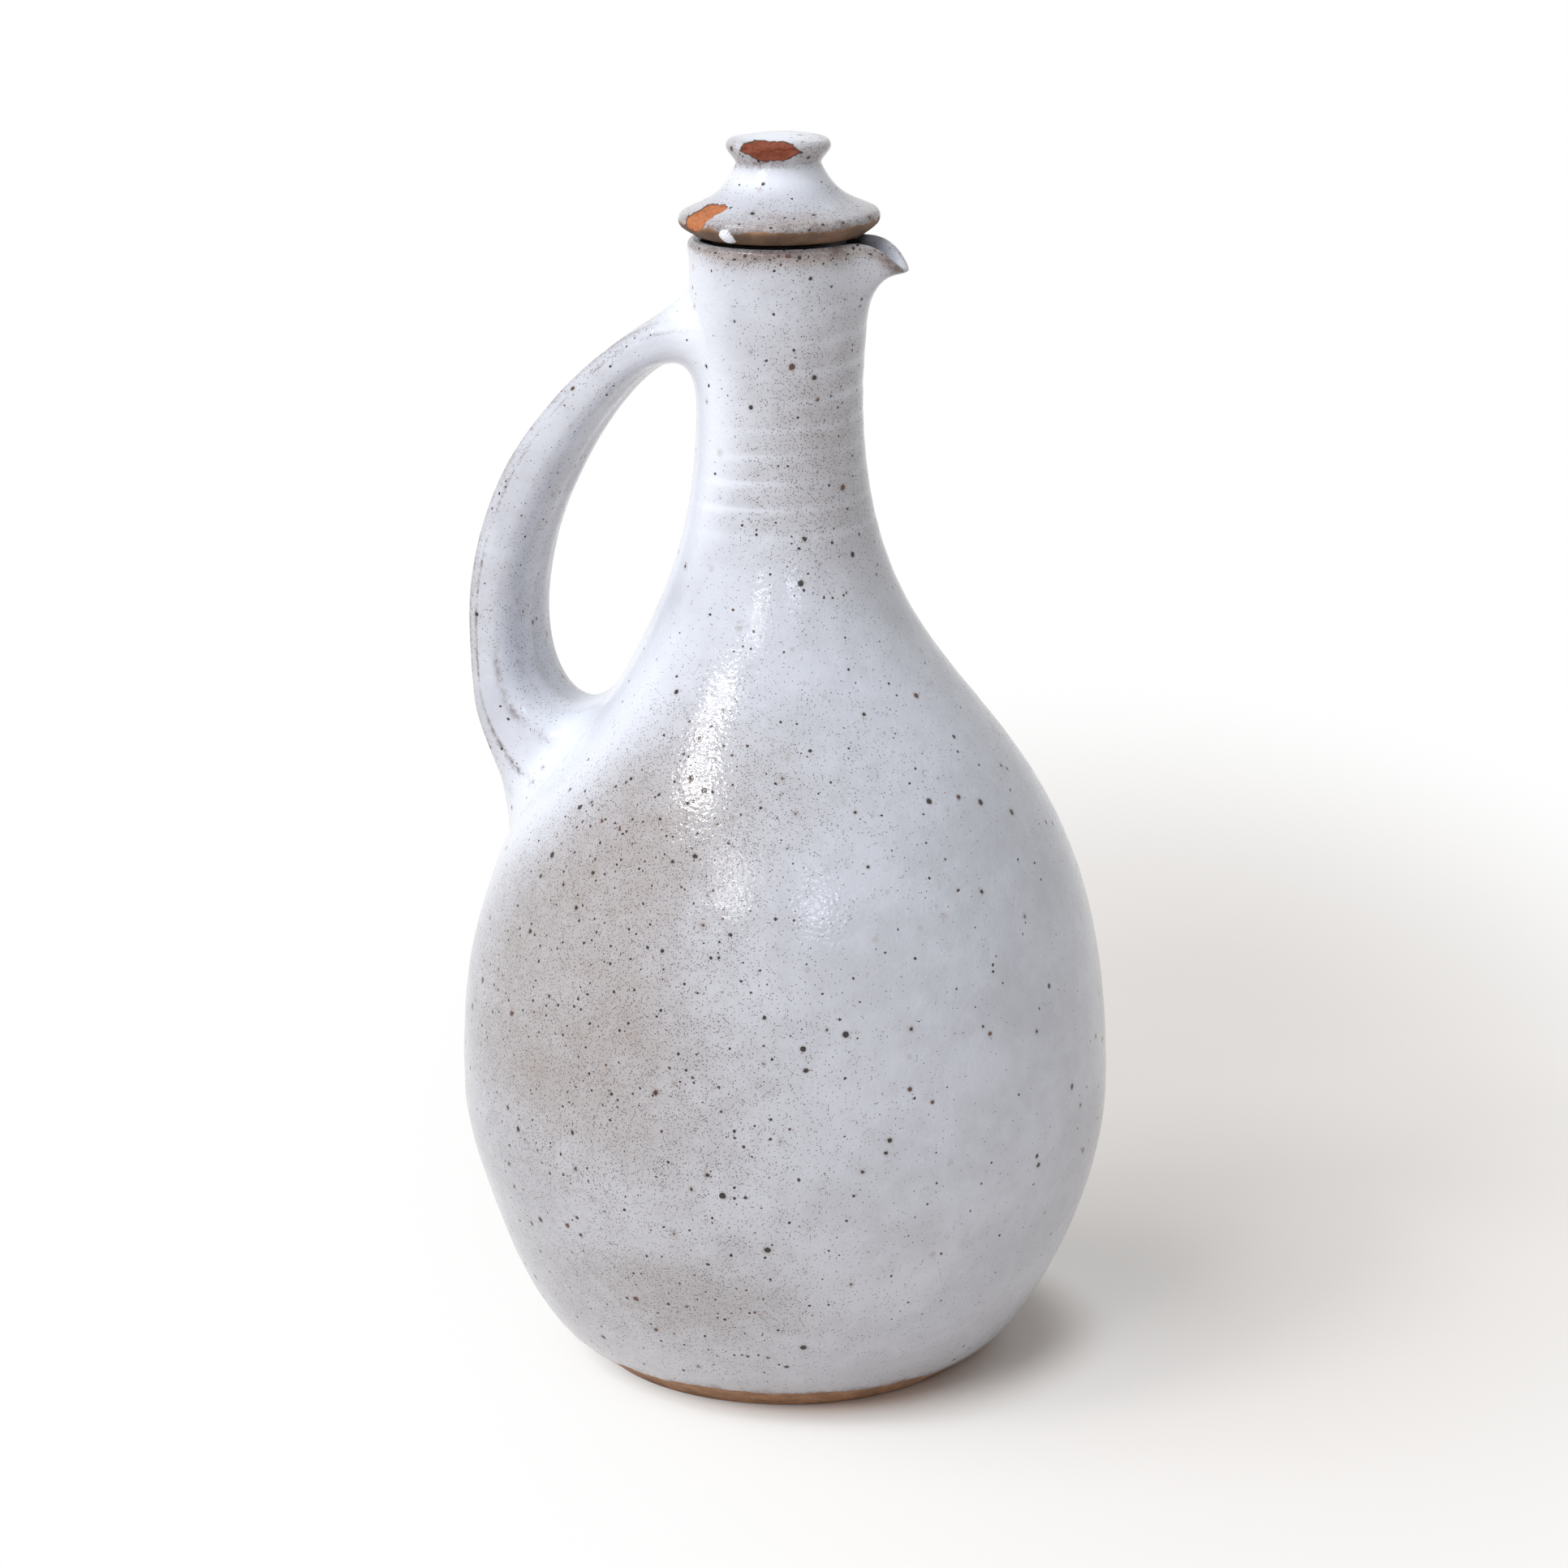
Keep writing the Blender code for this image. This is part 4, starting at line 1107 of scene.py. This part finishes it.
def glaze_paint(node, place, fields, glaze):
    """Colour of the glaze: milky white, greyer where thin, warm where iron bled in, peppered with iron grains.

    Gives back the colour, a mask of where the glaze breaks brown and a mask of the grains that came through.
    """
    # On the handle's inner face part of the iron share is painted shade
    # On the stopper's crown part of the pooled share is painted light
    iron, pooled = fields["iron_and_shade_share"], fields["pooled_glaze_and_light"]
    # Thrown clay takes the glaze in lying bands, so clouds are wider than they are tall: 40 mm and 5 mm across
    lying = node("Mapping", {"Vector": place, "Scale": (1.0, 1.0, 1.6)})
    clouds = node("TexNoise", {"Vector": lying, "Scale": 1.0 / (40 * MM), "Detail": 4.0, "Roughness": 0.55})
    mottle = node("TexNoise", {"Vector": place, "Scale": 1.0 / (5 * MM), "Detail": 3.0, "Roughness": 0.6})
    fine = node("TexNoise", {"Vector": place, "Scale": 1.0 / (1.1 * MM), "Detail": 2.0, "Roughness": 0.6})

    # Pepper gathers in the fine lines that fingers left round the pot, 24 mm long and 2 mm tall
    ringed = node("Mapping", {"Vector": place, "Scale": (1.0, 1.0, 12.0)})
    streaks = node("TexNoise", {"Vector": ringed, "Scale": 1.0 / (24 * MM), "Detail": 2.0})

    # Grains aren't round: the place that they are read at is shaken by a quarter of a millimetre
    shake = node("TexNoise", {"Vector": place, "Scale": 1.0 / (0.8 * MM), "Detail": 1.0}, "Color")
    shaken = node("VectorMath", (shake, (0.5 * MM,) * 3, place), operation='MULTIPLY_ADD')

    cloudy = node("Mix", {0: 0.30, 2: clouds, 3: mottle}, data_type='FLOAT')
    thinner = node("MapRange", (cloudy, 0.36, 0.64), **SOFT)
    paint = node("Mix", {0: thinner, 6: glaze.white[:], 7: glaze.grey[:]}, **COLOUR)
    patchy = node("Math", (clouds, mottle), operation='ADD')
    patchy = node("MapRange", (patchy, 0.70, 1.30, 0.70))
    warmth = node("Math", (iron, patchy), operation='MULTIPLY')
    # Mixes in the warm glaze, the painted shade inside the pot, and the pooled glaze
    for share, over in ((warmth, glaze.warm), (fields["painted_shade"], glaze.inside), (pooled, glaze.pooled)):
        paint = node("Mix", {0: share, 6: paint, 7: over[:]}, **COLOUR)

    # Thick glaze hides the iron
    hidden = node("Math", (pooled, -0.7, 1.0), operation='MULTIPLY_ADD')
    shown = node("Math", (iron, hidden), operation='MULTIPLY')
    peppered, some, few = (
        node("Math", (shown, *share), operation='MULTIPLY_ADD')
        for share in (PEPPER_SHARE, SPECK_SHARE, SPOT_SHARE)
    )
    drift = node("Math", (mottle, streaks), operation='ADD')
    drift = node("MapRange", (drift, 0.7, 1.3, 0.35, 1.5))
    peppered = node("Math", (peppered, drift), operation='MULTIPLY')
    pepper, _, _ = iron_grains(node, shaken, PEPPER, peppered)
    pepper = node("Math", (pepper, 0.74), operation='MULTIPLY')
    paint = node("Mix", {0: pepper, 6: paint, 7: glaze.pepper[:]}, **COLOUR)

    # Glaze that breaks brown over edges and thins out towards bare clay
    crumbs = node("Math", (fine, mottle), operation='ADD')
    crumbs = node("MapRange", (crumbs, 0.78, 1.20), **SOFT)
    brink = node("MapRange", (fields["clay_line"], -2.4, 0.0, 0.0, 0.8))
    broken = node("Math", (fields["thin_glaze"], brink), operation='MAXIMUM')
    solid = node("MapRange", (broken, 0.55, 1.3))
    crumbs = node("Math", (crumbs, solid), operation='MAXIMUM')
    broken = node("Math", (broken, crumbs), operation='MULTIPLY')
    paint = node("Mix", {0: broken, 6: paint, 7: glaze.broken[:]}, **COLOUR)

    # Large grains have a brown bleed round them, and where much iron stands on the rim it crumbles into a row
    specks, _, speck_tint = iron_grains(node, shaken, SPECKS, some)
    spots, halos, spot_tint = iron_grains(node, shaken, SPOTS, few)
    halos = node("Math", (halos, 0.38), operation='MULTIPLY')
    paint = node("Mix", {0: halos, 6: paint, 7: glaze.halo[:]}, **COLOUR)
    rich = node("MapRange", (iron, 1.05, 1.9))
    rows, _, row_tint = iron_grains(node, shaken, RIM_CRUMBS, rich)
    for mask, tint in ((specks, speck_tint), (spots, spot_tint), (rows, row_tint)):
        rusty = node("MapRange", (tint, 0.62, 0.95, 0.0, 0.75))
        grain = node("Mix", {0: rusty, 6: glaze.speck[:], 7: glaze.rust[:]}, **COLOUR)
        strong = node("Math", (mask, 0.96), operation='MULTIPLY')
        paint = node("Mix", {0: strong, 6: paint, 7: grain}, **COLOUR)
    grains = node("Math", (specks, spots), operation='MAXIMUM')
    return paint, broken, grains


def clay_paint(node, place, fields, glaze, paint):
    """The glaze's colour with clay over it: bare past the glaze line, and fresh inside a chip with a dark edge.

    Gives back the colour and a mask of the dry clay.
    """
    mottle = node("TexNoise", {"Vector": place, "Scale": 1.0 / (6 * MM), "Detail": 3.0, "Roughness": 0.6})
    grit = node("TexNoise", {"Vector": place, "Scale": 1.0 / (0.9 * MM), "Detail": 2.0, "Roughness": 0.6})
    toast = node("MapRange", (mottle, 0.32, 0.68), **SOFT)
    grains = node("MapRange", (grit, 0.52, 0.68, 0.0, 0.5))
    ragged = node("Math", (grit, 0.9, fields["clay_line"]), operation='MULTIPLY_ADD')
    bare = node("MapRange", (ragged, 0.30, 0.62), **SOFT)
    depth = node("Math", (grit, 0.3, fields["chip"]), operation='MULTIPLY_ADD')
    chipped = node("MapRange", (depth, 0.10, 0.20))
    within = node("MapRange", (depth, 0.22, 0.55))
    clay, fresh = glaze.clay[:], glaze.fresh_clay[:]
    # The painted_shade mask darkens the clay of the bevel, the plug and the knob's chip as painted shade
    for share, on_clay, on_fresh in (
        (toast, glaze.toasted_clay, glaze.burnt_clay),
        (grains, glaze.toasted_clay, glaze.chip_edge),
        (fields["painted_shade"], glaze.painted_shade_clay, glaze.painted_shade_chip_clay),
    ):
        clay = node("Mix", {0: share, 6: clay, 7: on_clay[:]}, **COLOUR)
        fresh = node("Mix", {0: share, 6: fresh, 7: on_fresh[:]}, **COLOUR)
    fresh = node("Mix", {0: within, 6: glaze.chip_edge[:], 7: fresh}, **COLOUR)
    for share, over in ((bare, clay), (chipped, fresh)):
        paint = node("Mix", {0: share, 6: paint, 7: over}, **COLOUR)
    return paint, node("Math", (bare, chipped), operation='MAXIMUM')


def stoneware_glaze(name, glaze):
    """White satin glaze over iron-bearing stoneware, bare where it was wiped off and broken open in chips.

    To the eye: a soft milky white that goes grey where it is thin, blue-white where it pools, and breaks brown
    over edges; iron from the clay peppers it. A fired glaze is a glass, so its IOR is about 1.5 and it shines;
    its fine orange peel breaks up every highlight. Bare clay is dry and rough.
    """
    material = bpy.data.materials.new(name)
    material.use_nodes = True
    tree = material.node_tree
    node = partial(add_node, tree)
    shader = tree.nodes["Principled BSDF"]
    shader.inputs["IOR"].default_value = 1.5
    place = node("TexCoord", output="Object")
    fields = {key: node("Attribute", output="Fac", attribute_name=key) for key in FIELDS}
    paint, broken, grains = glaze_paint(node, place, fields, glaze)
    paint, dry = clay_paint(node, place, fields, glaze, paint)
    tree.links.new(paint, shader.inputs["Base Color"])

    # Satin glaze varies in gloss over a few millimetres; where it breaks it is duller, and clay is dry
    sheen = node("TexNoise", {"Vector": place, "Scale": 1.0 / (4 * MM), "Detail": 2.0})
    satin = node("MapRange", (sheen, 0.3, 0.7, 0.11, 0.20))
    satin = node("Math", (broken, 0.15, satin), operation='MULTIPLY_ADD')
    satin = node("Math", (fields["painted_shade"], 0.35, satin), operation='MULTIPLY_ADD')
    dull = node("MapRange", (fields["painted_shade"], 0.0, 1.0, 0.80, 0.55))
    rough = node("Mix", {0: dry, 2: satin, 3: dull}, data_type='FLOAT')
    tree.links.new(rough, shader.inputs["Roughness"])

    # Heights in millimetres: pits at the grains, bumps of the glaze, grit of the clay
    relief = node("Math", (grains, -0.045), operation='MULTIPLY')
    for size, height in GLAZE_BUMPS:
        bumps = node("TexNoise", {"Vector": place, "Scale": 1.0 / (size * MM), "Detail": 1.0})
        relief = node("Math", (bumps, height, relief), operation='MULTIPLY_ADD')
    grit = node("TexNoise", {"Vector": place, "Scale": 1.0 / (1.3 * MM), "Detail": 3.0, "Roughness": 0.65})
    grit = node("Math", (grit, dry), operation='MULTIPLY')
    relief = node("Math", (grit, 0.24, relief), operation='MULTIPLY_ADD')
    bump = node("Bump", {"Strength": 1.0, "Distance": MM, "Height": relief})
    tree.links.new(bump, shader.inputs["Normal"])
    return material


def pot_glaze(context):
    """The glaze that the body and the handle share, made once."""
    name = "Speckled satin glaze on stoneware"
    return bpy.data.materials.get(name) or stoneware_glaze(name, context.scene.pitcher_glaze)


class PITCHER_OT_thrown_body(bpy.types.Operator):
    """Build the thrown and glazed body with its pinched spout"""

    bl_idname = "pitcher.thrown_body"
    bl_label = "Thrown Body"

    def execute(self, context):
        grid, poles, fields = thrown_body(context.scene.pitcher_body)
        piece = surface_object("glazed_body", grid, poles, fields, pot_glaze(context))
        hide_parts("vessel_body", "neck_section")
        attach(piece, "pitcher")
        return {'FINISHED'}


class PITCHER_OT_pulled_handle(bpy.types.Operator):
    """Build the pulled strap handle, smeared onto the neck and the shoulder"""

    bl_idname = "pitcher.pulled_handle"
    bl_label = "Pulled Handle"

    def execute(self, context):
        grid, poles, fields = pulled_handle(context.scene.pitcher_body, context.scene.pitcher_handle)
        piece = surface_object("glazed_handle", grid, poles, fields, pot_glaze(context))
        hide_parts("strap_handle")
        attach(piece, "pitcher")
        return {'FINISHED'}


class PITCHER_OT_turned_stopper(bpy.types.Operator):
    """Build the loose stopper with its two chips and its bare plug"""

    bl_idname = "pitcher.turned_stopper"
    bl_label = "Turned Stopper"

    def execute(self, context):
        grid, poles, fields = turned_stopper(context.scene.pitcher_stopper)
        material = stoneware_glaze("Chipped satin glaze on stoneware", context.scene.pitcher_glaze)
        piece = surface_object("glazed_stopper", grid, poles, fields, material)
        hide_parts("stopper")
        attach(piece, "stopper")
        return {'FINISHED'}


def floor_disc(stage):
    """A flat round floor as a grid of rings, each wider than the last, and columns round its middle."""
    growth, count = FLOOR_RINGS
    rings = stage.floor_radius * growth ** np.arange(1 - count, 1)[:, None]
    theta = -np.arange(FLOOR_COLUMNS)[None, :] * math.tau / FLOOR_COLUMNS
    grid = around_axis(rings, theta, np.zeros((count, FLOOR_COLUMNS)))
    index = np.arange(count * FLOOR_COLUMNS).reshape(count, FLOOR_COLUMNS)
    beside = np.roll(index, -1, axis=1)
    quads = np.stack([beside[:-1], beside[1:], index[1:], index[:-1]], axis=-1).reshape(-1, 4)
    mesh = bpy.data.meshes.new("floor")
    mesh.from_pydata(grid.reshape(-1, 3).tolist(), [], quads.tolist() + [index[0][::-1].tolist()])
    return mesh


def floor_paint(stage):
    """Matt white board: it takes the pot's soft shadow, and to the camera it runs out into the white room."""
    material = bpy.data.materials.new("Matt white board")
    material.use_nodes = True
    tree = material.node_tree
    node = partial(add_node, tree)
    shader = tree.nodes["Principled BSDF"]
    shader.inputs["Base Color"].default_value = stage.floor_colour[:]
    shader.inputs["Roughness"].default_value = 0.9
    shader.inputs["Specular IOR Level"].default_value = 0.2
    spot = node("TexCoord", output="Object")
    place = node("Mapping", (spot, SHADOW_MIDDLE, (0.0, 0.0, SHADOW_TURN)), vector_type='TEXTURE')
    narrow = node("VectorMath", (place, SHADOW_STRETCH), operation='MULTIPLY')
    away = node("VectorMath", (narrow,), "Value", operation='LENGTH')
    far = node("MapRange", (away, *SHADOW_REACH, *SHADOW_PALENESS), **SOFT)
    beside = node("VectorMath", (spot, CONTACT_MIDDLE), "Value", operation='DISTANCE')
    clear = node("MapRange", (beside, *CONTACT_REACH), **SOFT)
    far = node("Math", (far, clear), operation='MULTIPLY')
    share = node("Math", (far, seen_ray(node)), operation='MULTIPLY')
    white = node("Emission", {"Color": WHITE, "Strength": 1.0})
    mixed = node("MixShader", (share, shader.outputs[0], white))
    tree.links.new(mixed, tree.nodes["Material Output"].inputs["Surface"])
    return material


def seen_ray(node):
    """1 for what the camera sees, by itself, in a reflection or through glass, and 0 for light."""
    rays = node("LightPath", output="Is Camera Ray").node.outputs
    seen = node("Math", (rays["Is Camera Ray"], rays["Is Glossy Ray"]), operation='MAXIMUM')
    return node("Math", (seen, rays["Is Transmission Ray"]), operation='MAXIMUM')


def white_room(scene):
    """An even soft light from all sides, which the camera and reflections see as white."""
    world = bpy.data.worlds.new("White room")
    scene.world = world
    world.use_nodes = True
    tree = world.node_tree
    node = partial(add_node, tree)
    strength = node("MapRange", (seen_ray(node), 0.0, 1.0, ROOM_LIGHT, 1.0))
    tree.links.new(strength, tree.nodes["Background"].inputs["Strength"])
    tree.nodes["Background"].inputs["Color"].default_value = WHITE


def place_lamps(scene):
    """Set each lamp round the pot at its azimuth and elevation, facing the middle of the pot."""
    for name, azimuth, elevation, distance, wide, tall, power, code, seen in LAMPS:
        turn, rise = math.radians(azimuth), math.radians(elevation)
        back = Vector((math.sin(turn) * math.cos(rise), -math.cos(turn) * math.cos(rise), math.sin(rise)))
        lamp = bpy.data.lights.new(name, 'AREA')
        lamp.shape = 'RECTANGLE'
        lamp.size = wide
        lamp.size_y = tall
        lamp.energy = power
        lamp.color = linear(code)[:3]
        item = bpy.data.objects.new(name, lamp)
        item.location = Vector(LAMP_AIM) + back * distance
        item.rotation_euler = back.to_track_quat('Z', 'Y').to_euler()
        item.visible_camera = False
        item.visible_glossy = seen
        scene.collection.objects.link(item)


def place_camera(scene, stage):
    """The camera at the photograph's place: turned round the pot, tipped down and rolled a little."""
    data = bpy.data.cameras.new("camera")
    data.sensor_width = SENSOR_WIDTH
    data.lens = stage.camera_lens
    camera = bpy.data.objects.new("camera", data)
    turn = stage.camera_azimuth
    right = Vector((math.cos(turn), math.sin(turn), 0.0))
    ahead = Vector((-math.sin(turn), math.cos(turn), 0.0))
    place = right * stage.camera_aside - ahead * stage.camera_distance
    place += Vector((0.0, 0.0, stage.camera_height))
    tip = Matrix.Rotation(math.pi / 2 - stage.camera_pitch, 4, 'X')
    roll = Matrix.Rotation(stage.camera_roll, 4, 'Z')
    camera.matrix_world = Matrix.Translation(place) @ Matrix.Rotation(turn, 4, 'Z') @ tip @ roll
    scene.collection.objects.link(camera)
    scene.camera = camera


class PITCHER_OT_stage(bpy.types.Operator):
    """Set up the floor, the soft lamps, the white room and the camera"""

    bl_idname = "pitcher.stage"
    bl_label = "Stage"

    def execute(self, context):
        scene = context.scene
        stage = scene.pitcher_stage
        floor = bpy.data.objects.new("floor", floor_disc(stage))
        floor.data.materials.append(floor_paint(stage))
        scene.collection.objects.link(floor)
        white_room(scene)
        place_lamps(scene)
        place_camera(scene, stage)
        scene.view_settings.view_transform = 'Standard'
        return {'FINISHED'}


class PITCHER_PT_sidebar(bpy.types.Panel):
    """Sizes and colours of the pitcher, with a button for each piece"""

    bl_label = "Stoneware Pitcher"
    bl_space_type = 'VIEW_3D'
    bl_region_type = 'UI'
    bl_category = "Pitcher"

    def draw(self, context):
        for operator, group in PIECES:
            box = self.layout.box()
            box.operator(operator.bl_idname)
            settings = getattr(context.scene, group)
            for key in settings.__annotations__:
                box.prop(settings, key)
        colours = self.layout.box()
        for key in PitcherGlazeSettings.__annotations__:
            colours.prop(context.scene.pitcher_glaze, key)


PIECES = (
    (PITCHER_OT_thrown_body, "pitcher_body"),
    (PITCHER_OT_pulled_handle, "pitcher_handle"),
    (PITCHER_OT_turned_stopper, "pitcher_stopper"),
    (PITCHER_OT_stage, "pitcher_stage"),
)
SETTINGS = {
    "pitcher_body": PitcherBodySettings,
    "pitcher_handle": PitcherHandleSettings,
    "pitcher_stopper": PitcherStopperSettings,
    "pitcher_glaze": PitcherGlazeSettings,
    "pitcher_stage": PitcherStageSettings,
}
CLASSES = (*SETTINGS.values(), *(operator for operator, _ in PIECES), PITCHER_PT_sidebar)


def register():
    """Register the classes and give each scene its settings."""
    for cls in CLASSES:
        bpy.utils.register_class(cls)
    for key, group in SETTINGS.items():
        setattr(bpy.types.Scene, key, PointerProperty(type=group))


def unregister():
    """Take the settings and the classes away again."""
    for key in SETTINGS:
        delattr(bpy.types.Scene, key)
    for cls in reversed(CLASSES):
        bpy.utils.unregister_class(cls)


def main():
    """Build every piece and the stage."""
    register()
    bpy.ops.pitcher.thrown_body()
    bpy.ops.pitcher.pulled_handle()
    bpy.ops.pitcher.turned_stopper()
    bpy.ops.pitcher.stage()


if __name__ == "__main__":
    main()
